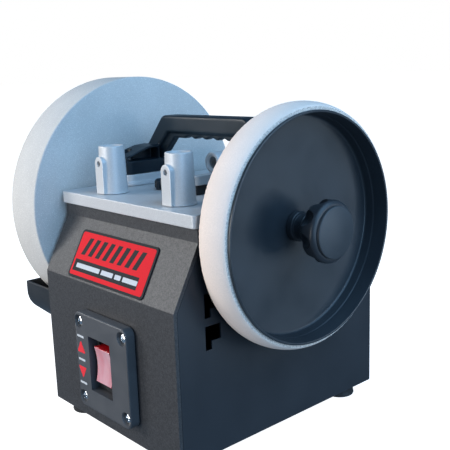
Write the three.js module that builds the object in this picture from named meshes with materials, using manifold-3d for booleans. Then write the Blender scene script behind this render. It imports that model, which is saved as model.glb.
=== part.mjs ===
// Wet grinding sharpener: a sheet-steel housing with a cast top, a large wet stone on the left,
// a leather honing wheel on the right, and a geared motor that turns both through a toothed belt.
// Millimetres. +X runs along the axle towards the honing wheel, +Y to the rear, +Z up.

import * as THREE from "three";
import { mergeVertices } from "three/addons/utils/BufferGeometryUtils.js";
import Module from "manifold-3d";

const wasm = await Module();
wasm.setup();

// ---- Driving dimensions ----

const GAP = 0.3; // clearance between pieces that touch on the real machine
const RUNNING_GAP = 0.5; // clearance beside pieces that turn

const AXLE_Z = 195; // axle height above the floor
const SHAFT_R = 6;
const SHAFT_LEFT = -170.5;
const SHAFT_RIGHT = 150.3;
const BORE_R = SHAFT_R + GAP;
const BUSH_R = 8.8;
const BUSH_FLANGE_R = 10.4; // passes under the skirt of the top plate
const BUSH_DEEP = 12; // how far a bush reaches into the housing
const AXLE = [0, 0, AXLE_Z];

const HALF_WIDTH = 98.5; // outer faces of the side panels
const SHEET = 1.6; // panel thickness
const FRONT_TOP_Y = -94.6; // short upright strip under the top plate
const FRONT_Y = -122; // lower front face
const REAR_Y = 124;
const SLOPE_TOP_Z = AXLE_Z - 0.8;
const SLOPE_BOTTOM_Z = AXLE_Z - 51.9;
const FOOT_H = 12;
const FOOT_R = 15;
const PANEL_BOTTOM_Z = FOOT_H + GAP;
const BASE_TOP_Z = PANEL_BOTTOM_Z + 2;
const BUSH_FACE_X = HALF_WIDTH + GAP + 3;
const FOLD = 3.4; // return flanges at the sides of the front panel
const FOOT_AT = [78, 100]; // half spacing of the rubber feet along X and Y
const VENT = { x: [-60, 10], bottom: 100, pitch: 12, rows: 5, length: 50, height: 5, corner: 2.4 };

const TOP_X = 100;
const TOP_CORNER = 4;
const TOP_FRONT_Y = -99;
const TOP_REAR_Y = 126;
const TOP_Z = AXLE_Z + 21.9;
const TOP_THICK = 11;
const TOP_WALL = 4;
const TOP_BOTTOM_Z = TOP_Z - TOP_THICK;
const BELT_SLOT = { side: 4, y: [-32, 32] }; // room beside the pulley, and the slot's length

const SLEEVE_X = [-48, 52];
const SLEEVE_Y = -73;
const SLEEVE_R = { top: 11.6, bottom: 13.2 };
const SLEEVE_BORE_R = 6.1; // for the 12 mm tool support
const SLEEVE_TOP_Z = AXLE_Z + 66;
const LUG_HALF = 6.3;
const LUG_FRONT = 15; // front face of the lug, ahead of the sleeve's axis
const LUG_TOP_Z = AXLE_Z + 56.6;
const CLAMP_HOLE_R = 2.5;
const REAR_SLEEVE_Z = AXLE_Z + 37;
const REAR_SLEEVE_R = 11;
const REAR_SLEEVE_FRONT = 48;
const REAR_SLEEVE_BACK = 123;
const REAR_SLEEVE_WEB = { half: 8, inset: 3 };

const RISER_X = [66, 92];
const RISER_Y = [-45, 32];
const RISER_CORNER = 10;
const RISER_SKIRT = 3; // the riser's foot stands out this far all round
const RISER_SKIRT_H = 3.5;
const RISER_TOP_Z = AXLE_Z + 33;

const PAD_BOTTOM_Z = RISER_TOP_Z + GAP;
const PAD_TOP_Z = AXLE_Z + 46;
const HANDLE_TOP_Z = AXLE_Z + 89;
const LEG_BOTTOM_Z = PAD_TOP_Z - 3; // the legs run down into the feet
// Left half of the handle's outer line in (x, z), from the foot up.
const HANDLE_LINE = [
  [-RISER_X[1], LEG_BOTTOM_Z],
  [-RISER_X[1], 252.5],
  [-80.4, 260.6],
  [-64, HANDLE_TOP_Z - 5],
  [-60, HANDLE_TOP_Z],
];
const SHELL_BOTTOM_Z = AXLE_Z + 72.5; // underside of the grip's outer shell
const SHELL_INNER = 52.5; // half length of that underside
const SHELL_Y = [-5, 15];
const GRIP_BOTTOM_Z = AXLE_Z + 67; // underside of the finger grip
const GRIP_INNER = 47.6;
const GRIP_Y = [0, 8.5];
const SCALLOP = { x: [-24, -8, 8, 24], r: 12, deep: 2 };
// Top of the handle's foot in (y, z).
const SADDLE = [[-46, 242.5], [-40, 246.5], [-29, 250.8], [-17, 254.2], [-4, 255]];
const SADDLE_LIP = 2.2;
const POCKET_X = 80; // the recess beside the leg reaches out to here
const HANDLE_SCREW = { x: 84, y: [-32, 24], r: 2.2, deep: 8, headR: 4.5, headH: 3, access: 5.5 };

const COVER = { x: [-9, 33], y: [-41, 40], top: [AXLE_Z + 33.5, AXLE_Z + 40], wall: 2.5, corner: 6 };
const COVER_STEP = { z: AXLE_Z + 31, inset: 3 }; // narrower base under the cover's body
const COVER_ROOM_Z = AXLE_Z + 33.6; // clears the belt
const COVER_KNOB = { x: -26, y: -34, r: 6.5, h: 10 };

const BADGE = { x: [-60, 57], down: [10.6, 56.1], thick: 1.2, corner: 4 };

const BEZEL = { x: [-35, 45.5], z: [30, 119.5], proud: 10.5, corner: 7 };
const WINDOW = { x: [-13.8, 20.2], z: [49.4, 100] };
const SWITCH_MID = [(WINDOW.x[0] + WINDOW.x[1]) / 2, (WINDOW.z[0] + WINDOW.z[1]) / 2];
const WINDOW_LIP = 0.9; // the panel's hole is this much smaller all round
const BEZEL_SCREW = { side: 6.6, end: 9, recessR: 6, recess: 4, holeR: 2.3 };
const BEZEL_PAN = { headR: 4.4, headH: 2.6, r: 1.9, deep: 5 };
const SWITCH = { play: 1.3, inset: 2, deep: 26, pinRoom: 8, tipRoom: 3 };
const PIN_R = 1.5;
const ROCKER_PIN_Y = -114;
const ROCKER_HALF = 11.7; // half width along X
const ROCKER_TIP = [16, 16.5]; // forward of the pin, above or below it
const ROCKER_DISH = 2.5;
const ROCKER_TAIL = { start: 2, back: 5, taper: 8 }; // behind the pin, narrowing towards the back

const STONE_R = 127;
const STONE_X = [-151.5, -104.5];
const FLANGE_R = { inner: 28, outer: 26 };
const NUT = { r: 11, from: 15.5, to: 6 }; // distances out from the stone's face
const RIM_R = 96.2; // the leather's seat on the honing disc
const LEATHER_X = [106.5, 135.3];
// The leather's rounded tread, as [radius, x] from back to front.
const CROWN = [
  [100.4, LEATHER_X[0]],
  [100.9, 107.1],
  [102.8, 111],
  [103.9, 115.7],
  [104.2, 120],
  [103.9, 124.7],
  [103, 129],
  [101.6, 132.8],
  [100.5, 134.8],
  [100, LEATHER_X[1]],
];
const LIP = { r: 97.2, inner: 95, x: [LEATHER_X[1] + GAP, 138] }; // stands ahead of the leather
const LEDGE_X = 123.2; // shallow step halfway down the disc's cup
const WEB_X = [108.2, 114.6]; // back and front of the honing disc's web
const HUB_X = 104.5; // back end of the honing disc's hub
const SPACER_R = 9;
const KNOB = { x: [142.3, 156.3], r: 24.4, wave: 1.6, lobes: 8 };
const CAP = { r: 22, thick: 2.4 };

const TROUGH_X = [-163.5, -99.3];
const TROUGH_Z = [54, 118];
const TROUGH_HALF_Y = 113;
const TROUGH_WALL = 2.5;
const TROUGH_SIDE_H = 16; // upright strip under the rim
const TROUGH_FLAT = 40; // half length of the level bottom
const HOOK = { thick: 2.4, h: 6, lip: 4 };
const HOOK_PLAY = 0.6; // beside the hook in the slot's leg

const SLOT = { wide: 16.5, narrow: 6.6, tall: 20.4, shoulder: 13.2, pitch: 27.2 };
const SLOT_FRONT_Y = -90.8;
const SLOT_TOP_Z = AXLE_Z - 70.3;

const MOTOR_Y = 10;
const MOTOR_Z = 80;
const MOTOR_R = 42;
const MOTOR_AXIS = [0, MOTOR_Y, MOTOR_Z];
const PULLEY_X = [2, 18];
const PULLEY_FLANGE = 2;
const DRIVEN_R = 30;
const DRIVING_R = 12;
const BELT_THICK = 2.7;
const BELT_SIDE = 1.6; // the belt runs this far inside the pulley's ends
const BELT_STEPS = 14;
const OUTPUT = { r: 5, x: [-19, 24], bore: 5.4 };
const GEARBOX = { half: 34, x: [-34, -3.4], corner: 8 };
const CASE_X = [-84, GEARBOX.x[0] - GAP];
const STATOR_X = [-76, -44];
const ROTOR = { r: 20, core: [-78, -42], shaft: [-89, -25], bore: 6 };
const BRACKET = { x: [-2.9, -0.9], half: 38, sole: 70, thick: 3, hole: 14 };
const CAPACITOR = { x: 62, y: 70, r: 17, h: 62 };
const TERMINALS = { x: 62, halfX: 12, halfY: 30, h: 18 };

const GLAND = { x: 62, z: 45, r: 8.7, bore: 4, collar: 13, inside: 8, out: 6 };

const WHEEL_SEGMENTS = 48;
const SMALL_SEGMENTS = 20;
const SCREW_SEGMENTS = 10;

// ---- Materials ----

function paint(color, roughness, metalness = 0) {
  return new THREE.MeshStandardMaterial({ color, roughness, metalness });
}

const material = {
  darkPaint: paint(0x3a3b40, 0.6, 0.3),
  sidePaint: paint(0x26323f, 0.5, 0.3),
  silver: paint(0xb4bcc6, 0.45, 0.6),
  blackPlastic: paint(0x22282d, 0.5),
  blackGloss: paint(0x1c2a36, 0.3),
  red: paint(0xd01828, 0.35),
  steel: paint(0xb8bcc0, 0.3, 0.9),
  chrome: paint(0xd8dade, 0.15, 1),
  brass: paint(0xb59a55, 0.35, 0.9),
  stone: paint(0x9db4c8, 0.95),
  leather: paint(0xe2dfda, 0.85),
  rubber: paint(0x1a1a1c, 0.9),
  belt: paint(0x232325, 0.8),
  motor: paint(0x8e9298, 0.4, 0.8),
  copper: paint(0xa5622f, 0.4, 0.8),
};

// ---- Solid helpers ----

// Merges shared vertices and drops the slivers that a lathe leaves on its axis.
function weld(geometry) {
  const bare = geometry.clone();
  bare.deleteAttribute("normal");
  bare.deleteAttribute("uv");
  const merged = mergeVertices(bare, 1e-4);
  const source = merged.index.array;
  const kept = [];
  for (let i = 0; i < source.length; i += 3) {
    const [a, b, c] = [source[i], source[i + 1], source[i + 2]];
    if (a !== b && b !== c && c !== a) kept.push(a, b, c);
  }
  merged.setIndex(kept);
  return merged;
}

function toSolid(geometry) {
  const welded = weld(geometry);
  return new wasm.Manifold(
    new wasm.Mesh({
      numProp: 3,
      vertProperties: new Float32Array(welded.attributes.position.array),
      triVerts: new Uint32Array(welded.index.array),
    }),
  );
}

function toGeometry(solid) {
  const { vertProperties, triVerts } = solid.getMesh();
  const geometry = new THREE.BufferGeometry();
  geometry.setAttribute("position", new THREE.BufferAttribute(vertProperties, 3));
  geometry.setIndex(new THREE.BufferAttribute(triVerts, 1));
  const flat = geometry.toNonIndexed();
  flat.computeVertexNormals();
  return flat;
}

function cut(geometry, ...tools) {
  const start = toSolid(geometry);
  return toGeometry(tools.reduce((solid, tool) => solid.subtract(toSolid(tool)), start));
}

function join(geometry, ...others) {
  const start = toSolid(geometry);
  return toGeometry(others.reduce((solid, other) => solid.add(toSolid(other)), start));
}

// ---- Shape helpers ----

const X = new THREE.Vector3(1, 0, 0);
const Y = new THREE.Vector3(0, 1, 0);
const Z = new THREE.Vector3(0, 0, 1);

function block(x, y, z) {
  const geometry = new THREE.BoxGeometry(x[1] - x[0], y[1] - y[0], z[1] - z[0]);
  return geometry.translate((x[0] + x[1]) / 2, (y[0] + y[1]) / 2, (z[0] + z[1]) / 2);
}

function extrude(shape, depth, curveSegments = 6) {
  return new THREE.ExtrudeGeometry(shape, { depth, bevelEnabled: false, curveSegments });
}

// A shape drawn in (y, z) and swept along X.
function alongX(shape, x, curveSegments) {
  const turn = new THREE.Matrix4().makeBasis(Y, Z, X);
  return extrude(shape, x[1] - x[0], curveSegments).applyMatrix4(turn).translate(x[0], 0, 0);
}

// A shape drawn in (x, z) and swept along Y.
function alongY(shape, y, curveSegments) {
  const turn = new THREE.Matrix4().makeBasis(X, Z, Y.clone().negate());
  return extrude(shape, y[1] - y[0], curveSegments).applyMatrix4(turn).translate(0, y[1], 0);
}

// A shape drawn in (x, y) and swept along Z.
function alongZ(shape, z, curveSegments) {
  return extrude(shape, z[1] - z[0], curveSegments).translate(0, 0, z[0]);
}

function polygon(points) {
  return new THREE.Shape(points.map(([u, v]) => new THREE.Vector2(u, v)));
}

// Draws both ends of a range in by the same distance.
function shrink([low, high], inset) {
  return [low + inset, high - inset];
}

function roundedRect(u, v, r) {
  const shape = new THREE.Shape();
  shape.moveTo(u[0] + r, v[0]);
  shape.lineTo(u[1] - r, v[0]);
  shape.absarc(u[1] - r, v[0] + r, r, -Math.PI / 2, 0);
  shape.lineTo(u[1], v[1] - r);
  shape.absarc(u[1] - r, v[1] - r, r, 0, Math.PI / 2);
  shape.lineTo(u[0] + r, v[1]);
  shape.absarc(u[0] + r, v[1] - r, r, Math.PI / 2, Math.PI);
  shape.lineTo(u[0], v[0] + r);
  shape.absarc(u[0] + r, v[0] + r, r, Math.PI, 1.5 * Math.PI);
  return shape;
}

function rod(r, axis, from, to, segments = SMALL_SEGMENTS) {
  const geometry = new THREE.CylinderGeometry(r, r, to - from, segments);
  geometry.translate(0, (from + to) / 2, 0);
  return pointAlong(geometry, axis);
}

// Turns a shape that stands on the Y axis so that it runs along the named axis.
function pointAlong(geometry, axis) {
  if (axis === "x") geometry.rotateZ(-Math.PI / 2);
  if (axis === "z") geometry.rotateX(Math.PI / 2);
  return geometry;
}

// Closed profile of [radius, height] points, anticlockwise, turned round the named axis.
function turned(points, axis, segments = SMALL_SEGMENTS) {
  const outline = [...points, points[0]].map(([r, h]) => new THREE.Vector2(r, h));
  return pointAlong(new THREE.LatheGeometry(outline, segments), axis);
}

function ring(inner, outer, axis, from, to, segments = SMALL_SEGMENTS, chamfer = 0) {
  const points = [
    [inner, from],
    [outer - chamfer, from],
    [outer, from + chamfer],
    [outer, to - chamfer],
    [outer - chamfer, to],
    [inner, to],
  ];
  return turned(chamfer ? points : points.filter((_, i) => i !== 2 && i !== 3), axis, segments);
}

// Moves an open polyline sideways by a distance, to the left of its direction of travel.
function offsetLine(points, distance) {
  const normals = points.slice(1).map(([u, v], i) => {
    const [pu, pv] = points[i];
    const length = Math.hypot(u - pu, v - pv);
    return [-(v - pv) / length, (u - pu) / length];
  });
  return points.map(([u, v], i) => {
    const before = normals[Math.max(i - 1, 0)];
    const after = normals[Math.min(i, normals.length - 1)];
    const scale = distance / (1 + before[0] * after[0] + before[1] * after[1]);
    return [u + (before[0] + after[0]) * scale, v + (before[1] + after[1]) * scale];
  });
}

const machine = new THREE.Group();

function addPiece(name, geometry, finish, position = [0, 0, 0], rotation = [0, 0, 0]) {
  const mesh = new THREE.Mesh(geometry, finish);
  mesh.name = name;
  mesh.position.set(...position);
  mesh.rotation.set(...rotation);
  machine.add(mesh);
  return mesh;
}

// ---- Housing ----

// The folded front's outer line in (y, z), from the top down.
const FRONT_LINE = [
  [FRONT_TOP_Y, TOP_BOTTOM_Z - GAP],
  [FRONT_TOP_Y, SLOPE_TOP_Z],
  [FRONT_Y, SLOPE_BOTTOM_Z],
  [FRONT_Y, PANEL_BOTTOM_Z],
];

function panelHole() {
  const through = [FRONT_Y - 5, FRONT_Y + 5];
  return block(shrink(WINDOW.x, WINDOW_LIP), through, shrink(WINDOW.z, WINDOW_LIP));
}

function frontPanel() {
  const inner = offsetLine(FRONT_LINE, SHEET);
  const flangeEdge = offsetLine(FRONT_LINE, FOLD);
  const face = alongX(polygon([...FRONT_LINE, ...inner.reverse()]), [-HALF_WIDTH, HALF_WIDTH]);
  const flange = polygon([...FRONT_LINE, ...flangeEdge.reverse()]);
  const left = alongX(flange, [-HALF_WIDTH, -HALF_WIDTH + SHEET]);
  const right = alongX(flange, [HALF_WIDTH - SHEET, HALF_WIDTH]);
  return cut(join(face, left, right), panelHole());
}

// The keyed slot: a wide mouth with a narrow leg under its front end.
function slotShape(front, top) {
  return polygon([
    [front, top],
    [front, top - SLOT.tall],
    [front + SLOT.narrow, top - SLOT.tall],
    [front + SLOT.narrow, top - SLOT.shoulder],
    [front + SLOT.wide, top - SLOT.shoulder],
    [front + SLOT.wide, top],
  ]);
}

const SLOT_FRONTS = [SLOT_FRONT_Y, -SLOT_FRONT_Y - SLOT.wide];

function sidePanel(side) {
  const edge = offsetLine(FRONT_LINE, FOLD + GAP);
  const outline = [
    ...edge,
    [REAR_Y - SHEET - GAP, PANEL_BOTTOM_Z],
    [REAR_Y - SHEET - GAP, TOP_BOTTOM_Z - GAP],
  ];
  const outer = side * HALF_WIDTH;
  const inner = side * (HALF_WIDTH - SHEET);
  const x = [Math.min(outer, inner), Math.max(outer, inner)];
  const through = [x[0] - 2, x[1] + 2];
  const slots = SLOT_FRONTS.flatMap((front) =>
    [0, 1].map((row) => alongX(slotShape(front, SLOT_TOP_Z + row * SLOT.pitch), through)),
  );
  const bushHole = rod(BUSH_R + GAP, "x", ...through).translate(0, 0, AXLE_Z);
  return cut(alongX(polygon(outline), x), bushHole, ...slots);
}

function rearPanel() {
  const plate = block(
    [-HALF_WIDTH, HALF_WIDTH],
    [REAR_Y - SHEET, REAR_Y],
    [PANEL_BOTTOM_Z, TOP_BOTTOM_Z - GAP],
  );
  const through = [REAR_Y - 5, REAR_Y + 5];
  const vents = [];
  for (let row = 0; row < VENT.rows; row += 1) {
    for (const x of VENT.x) {
      const z = VENT.bottom + row * VENT.pitch;
      const outline = roundedRect([x, x + VENT.length], [z, z + VENT.height], VENT.corner);
      vents.push(alongY(outline, through, 1));
    }
  }
  const glandHole = rod(GLAND.r + GAP, "y", ...through).translate(GLAND.x, 0, GLAND.z);
  return cut(plate, glandHole, ...vents);
}

function basePlate() {
  const inset = HALF_WIDTH - SHEET - GAP;
  return block(
    [-inset, inset],
    [FRONT_Y + SHEET + GAP, REAR_Y - SHEET - GAP],
    [PANEL_BOTTOM_Z, BASE_TOP_Z],
  );
}

function foot() {
  return turned(
    [
      [0, 0],
      [FOOT_R - 1, 0],
      [FOOT_R, 1],
      [FOOT_R - 2, FOOT_H],
      [0, FOOT_H],
    ],
    "z",
    24,
  );
}

function addHousing() {
  addPiece("front_panel", frontPanel(), material.darkPaint);
  addPiece("left_side_panel", sidePanel(-1), material.sidePaint);
  addPiece("right_side_panel", sidePanel(1), material.sidePaint);
  addPiece("rear_panel", rearPanel(), material.darkPaint);
  addPiece("base_plate", basePlate(), material.sidePaint);
  for (const [side, x] of [["left", -FOOT_AT[0]], ["right", FOOT_AT[0]]]) {
    for (const [end, y] of [["front", -FOOT_AT[1]], ["rear", FOOT_AT[1]]]) {
      addPiece(`foot_${end}_${side}`, foot(), material.rubber, [x, y, 0]);
    }
  }
}

// ---- Cast top with its sleeves ----

function topPlate() {
  const outline = roundedRect([-TOP_X, TOP_X], [TOP_FRONT_Y, TOP_REAR_Y], TOP_CORNER);
  const casting = alongZ(outline, [TOP_BOTTOM_Z, TOP_Z], 4);
  const hollow = block(
    shrink([-TOP_X, TOP_X], TOP_WALL),
    shrink([TOP_FRONT_Y, TOP_REAR_Y], TOP_WALL),
    [TOP_BOTTOM_Z - 1, TOP_Z - TOP_WALL],
  );
  const slotX = shrink(PULLEY_X, -BELT_SLOT.side);
  const beltSlot = block(slotX, BELT_SLOT.y, [TOP_BOTTOM_Z, TOP_Z + 1]);
  return cut(casting, hollow, beltSlot);
}

// Upright sleeve, drawn round its own axis with its foot at z = 0.
function uprightSleeve() {
  const height = SLEEVE_TOP_Z - TOP_Z - GAP;
  const lugHeight = LUG_TOP_Z - TOP_Z - GAP;
  const tube = new THREE.CylinderGeometry(SLEEVE_R.top, SLEEVE_R.bottom, height, 32);
  tube.rotateX(Math.PI / 2).translate(0, 0, height / 2);
  const outline = new THREE.Shape();
  outline.moveTo(-LUG_HALF, 0);
  outline.lineTo(LUG_HALF, 0);
  outline.lineTo(LUG_HALF, lugHeight - LUG_HALF);
  outline.absarc(0, lugHeight - LUG_HALF, LUG_HALF, 0, Math.PI);
  const lug = alongY(outline, [-LUG_FRONT, 0], 8);
  const bore = rod(SLEEVE_BORE_R, "z", -1, height + 1);
  const clampHole = rod(CLAMP_HOLE_R, "y", -LUG_FRONT - 1, 0, SCREW_SEGMENTS);
  clampHole.translate(0, 0, lugHeight - LUG_HALF);
  return cut(join(tube, lug), bore, clampHole);
}

// Level sleeve, drawn round its own axis with its mouth at y = 0 and a web down to the plate.
function levelSleeve() {
  const length = REAR_SLEEVE_BACK - REAR_SLEEVE_FRONT;
  const drop = REAR_SLEEVE_Z - TOP_Z - GAP;
  const tube = rod(REAR_SLEEVE_R, "y", 0, length, 28);
  const { half, inset } = REAR_SLEEVE_WEB;
  const web = block([-half, half], [inset, length - inset], [-drop, -2]);
  const bore = rod(SLEEVE_BORE_R, "y", -1, length + 1);
  const clampHole = rod(CLAMP_HOLE_R, "z", 0, REAR_SLEEVE_R + 1, SCREW_SEGMENTS);
  clampHole.translate(0, length / 2, 0);
  return cut(join(tube, web), bore, clampHole);
}

function handleRiser() {
  const post = roundedRect(RISER_X, RISER_Y, RISER_CORNER);
  const skirt = roundedRect(
    [RISER_X[0] - RISER_SKIRT, RISER_X[1] + RISER_SKIRT],
    [RISER_Y[0] - RISER_SKIRT, RISER_Y[1] + RISER_SKIRT],
    RISER_CORNER + RISER_SKIRT,
  );
  const base = TOP_Z + GAP;
  return join(alongZ(post, [base, RISER_TOP_Z], 4), alongZ(skirt, [base, base + RISER_SKIRT_H], 4));
}

function addTop() {
  addPiece("top_plate", topPlate(), material.silver);
  for (const [index, side] of ["left", "right"].entries()) {
    const x = SLEEVE_X[index];
    addPiece(`upright_sleeve_${side}`, uprightSleeve(), material.silver, [x, SLEEVE_Y, TOP_Z + GAP]);
    const mouth = [x, REAR_SLEEVE_FRONT, REAR_SLEEVE_Z];
    addPiece(`level_sleeve_${side}`, levelSleeve(), material.silver, mouth);
    const shift = side === "left" ? -(RISER_X[0] + RISER_X[1]) : 0;
    addPiece(`handle_riser_${side}`, handleRiser(), material.silver, [shift, 0, 0]);
  }
}

// ---- Carrying handle ----

// Closes a line drawn on the left with its own mirror image on the right.
function mirrored(line) {
  return [...line, ...line.map(([x, z]) => [-x, z]).reverse()];
}

// The legs lean in at 45 degrees, so x and z fall together along their inner edges.
function legLine(inner, top) {
  return [
    [-inner - (top - LEG_BOTTOM_Z), LEG_BOTTOM_Z],
    [-inner, top],
  ];
}

function handleShell() {
  const inner = mirrored(legLine(SHELL_INNER, SHELL_BOTTOM_Z)).reverse();
  return alongY(polygon([...mirrored(HANDLE_LINE), ...inner]), SHELL_Y);
}

// The finger grip lines the opening and stands further into it than the shell.
function fingerGrip() {
  const outer = mirrored(legLine(SHELL_INNER + 1, SHELL_BOTTOM_Z + 1));
  const inner = mirrored(legLine(GRIP_INNER, GRIP_BOTTOM_Z)).reverse();
  const scallops = SCALLOP.x.map((x) => {
    const scallop = rod(SCALLOP.r, "y", GRIP_Y[0] - 1, GRIP_Y[1] + 1);
    return scallop.translate(x, 0, GRIP_BOTTOM_Z - SCALLOP.r + SCALLOP.deep);
  });
  return cut(alongY(polygon([...outer, ...inner]), GRIP_Y), ...scallops);
}

// Left foot: a pad, and ahead of the leg a saddle with a recess on its inner side.
function handleFoot() {
  const x = [-RISER_X[1], -RISER_X[0]];
  const top = SADDLE[SADDLE.length - 1][1];
  const block = alongZ(roundedRect(x, RISER_Y, RISER_CORNER), [PAD_BOTTOM_Z, top], 4);
  const rear = SADDLE[SADDLE.length - 1][0];
  const above = polygon([
    ...SADDLE,
    [rear, PAD_TOP_Z],
    [RISER_Y[1] + 1, PAD_TOP_Z],
    [RISER_Y[1] + 1, top + 1],
    [SADDLE[0][0], top + 1],
  ]);
  const recess = polygon([
    [SHELL_Y[0], PAD_TOP_Z],
    [SADDLE[1][0] - 3, PAD_TOP_Z],
    ...SADDLE.slice(1, -1).map(([y, z]) => [y, z - SADDLE_LIP]),
    [SHELL_Y[0], top - SADDLE_LIP],
  ]);
  return cut(block, alongX(above, [x[0] - 1, x[1] + 1]), alongX(recess, [-POCKET_X, x[1] + 1]));
}

function panScrew(headR, headH, shankR, shankL) {
  return turned(
    [
      [0, -shankL],
      [shankR, -shankL],
      [shankR, 0],
      [headR, 0],
      [headR, headH * 0.5],
      [headR * 0.7, headH],
      [0, headH],
    ],
    "z",
    SCREW_SEGMENTS,
  );
}

function addHandle() {
  const holes = [];
  for (const side of [-1, 1]) {
    for (const y of HANDLE_SCREW.y) {
      const x = side * HANDLE_SCREW.x;
      const hole = rod(HANDLE_SCREW.r + GAP, "z", RISER_TOP_Z - 1, PAD_TOP_Z + 1, SCREW_SEGMENTS);
      const access = rod(HANDLE_SCREW.access, "z", PAD_TOP_Z, HANDLE_TOP_Z);
      holes.push(hole.translate(x, y, 0), access.translate(x, y, 0));
    }
  }
  const right = toGeometry(toSolid(handleFoot()).mirror([1, 0, 0]));
  const handle = join(handleShell(), fingerGrip(), handleFoot(), right);
  addPiece("carry_handle", cut(handle, ...holes), material.blackPlastic);
  for (const [sideName, side] of [["left", -1], ["right", 1]]) {
    for (const [endName, y] of [["front", HANDLE_SCREW.y[0]], ["rear", HANDLE_SCREW.y[1]]]) {
      const { x, r, deep, headR, headH } = HANDLE_SCREW;
      const screw = panScrew(headR, headH, r, deep);
      const place = [side * x, y, PAD_TOP_Z + GAP];
      addPiece(`handle_screw_${endName}_${sideName}`, screw, material.steel, place);
    }
  }
}

// ---- Belt cover between the handle's feet ----

// The cover's roof falls towards the stone.
function beltCover() {
  const { x, y, top, wall, corner } = COVER;
  const { z: step, inset } = COVER_STEP;
  const full = alongZ(roundedRect(x, y, corner), [step, top[1]], 4);
  const above = polygon([
    [x[0] - 1, top[0]],
    [x[1], top[1]],
    [x[0] - 1, top[1] + 1],
  ]);
  const roof = alongY(above, [y[0] - 1, y[1] + 1]);
  const waist = roundedRect(shrink(x, inset), shrink(y, inset), corner - inset);
  const base = alongZ(waist, [TOP_Z + GAP, step + 1], 4);
  const room = block(
    [PULLEY_X[0] - 1.5, PULLEY_X[1] + 1.5],
    shrink(y, inset + wall),
    [TOP_Z - 1, COVER_ROOM_Z],
  );
  return cut(join(cut(full, roof), base), room);
}

function addCover() {
  addPiece("belt_cover", beltCover(), material.blackPlastic);
  const knob = rod(COVER_KNOB.r, "z", 0, COVER_KNOB.h, 24);
  addPiece("cover_knob", knob, material.blackPlastic, [COVER_KNOB.x, COVER_KNOB.y, TOP_Z + GAP]);
}

// ---- Badge and switch ----

function addBadge() {
  const outline = roundedRect(BADGE.x, [-BADGE.down[1], -BADGE.down[0]], BADGE.corner);
  const plate = alongZ(outline, [GAP, GAP + BADGE.thick], 4);
  const tilt = Math.atan2(SLOPE_TOP_Z - SLOPE_BOTTOM_Z, FRONT_TOP_Y - FRONT_Y);
  addPiece("badge_plate", plate, material.red, [0, FRONT_TOP_Y, SLOPE_TOP_Z], [tilt, 0, 0]);
}

function switchBezel() {
  const y = [FRONT_Y - BEZEL.proud, FRONT_Y - GAP];
  const body = alongY(roundedRect(BEZEL.x, BEZEL.z, BEZEL.corner), y, 6);
  const window = block(WINDOW.x, [y[0] - 1, y[1] + 1], WINDOW.z);
  const tools = bezelScrewPlaces().flatMap(([x, z]) => [
    rod(BEZEL_SCREW.recessR, "y", y[0] - 1, y[0] + BEZEL_SCREW.recess, 24).translate(x, 0, z),
    rod(BEZEL_SCREW.holeR, "y", y[0], y[1] + 1, 16).translate(x, 0, z),
  ]);
  return cut(body, window, ...tools);
}

function bezelScrewPlaces() {
  const [left, right] = shrink(BEZEL.x, BEZEL_SCREW.side);
  const [low, high] = shrink(BEZEL.z, BEZEL_SCREW.end);
  return [
    [left, high],
    [right, high],
    [left, low],
    [right, low],
  ];
}

function switchBody() {
  const [cx, cz] = SWITCH_MID;
  const face = FRONT_Y - SWITCH.inset;
  const depth = [face, face + SWITCH.deep];
  const outer = block(shrink(WINDOW.x, SWITCH.play), depth, shrink(WINDOW.z, SWITCH.play));
  const halfX = ROCKER_HALF + RUNNING_GAP;
  const halfZ = ROCKER_TIP[1] + SWITCH.tipRoom;
  const pocket = block(
    [cx - halfX, cx + halfX],
    [face - 1, ROCKER_PIN_Y + SWITCH.pinRoom],
    [cz - halfZ, cz + halfZ],
  );
  const pinHole = rod(PIN_R + GAP, "x", cx - 30, cx + 30, 12).translate(0, ROCKER_PIN_Y, cz);
  return cut(outer, pocket, pinHole);
}

// The rocker, drawn in (y, z) round its pin: a shallow V in front, square shoulders, narrow tail.
function rocker() {
  const [reach, tip] = ROCKER_TIP;
  const { start, back, taper } = ROCKER_TAIL;
  const outline = polygon([
    [ROCKER_DISH - reach, 0],
    [-reach, -tip],
    [start, -tip],
    [back, -tip + taper],
    [back, tip - taper],
    [start, tip],
    [-reach, tip],
  ]);
  const body = alongX(outline, [-ROCKER_HALF, ROCKER_HALF]);
  return cut(body, rod(PIN_R + GAP, "x", -ROCKER_HALF - 1, ROCKER_HALF + 1, 12));
}

function addSwitch() {
  const [cx, cz] = SWITCH_MID;
  const face = FRONT_Y - BEZEL.proud;
  addPiece("switch_bezel", switchBezel(), material.blackPlastic);
  addPiece("switch_body", switchBody(), material.blackPlastic);
  addPiece("rocker", rocker(), material.red, [cx, ROCKER_PIN_Y, cz]);
  addPiece("rocker_pin", rod(PIN_R, "x", -15, 15, 12), material.steel, [cx, ROCKER_PIN_Y, cz]);
  for (const [index, [x, z]] of bezelScrewPlaces().entries()) {
    const { headR, headH, r, deep } = BEZEL_PAN;
    const screw = panScrew(headR, headH, r, deep).rotateX(Math.PI / 2);
    const place = [x, face + BEZEL_SCREW.recess - GAP, z];
    addPiece(`bezel_screw_${index + 1}`, screw, material.chrome, place);
  }
}

// ---- Main shaft, stone and honing wheel ----

function bush(side) {
  const points = [
    [BORE_R, HALF_WIDTH - BUSH_DEEP],
    [BUSH_R, HALF_WIDTH - BUSH_DEEP],
    [BUSH_R, HALF_WIDTH + GAP],
    [BUSH_FLANGE_R, HALF_WIDTH + GAP],
    [BUSH_FLANGE_R, BUSH_FACE_X],
    [BORE_R, BUSH_FACE_X],
  ];
  const geometry = turned(points, "x");
  return side > 0 ? geometry : geometry.rotateZ(Math.PI);
}

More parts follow.
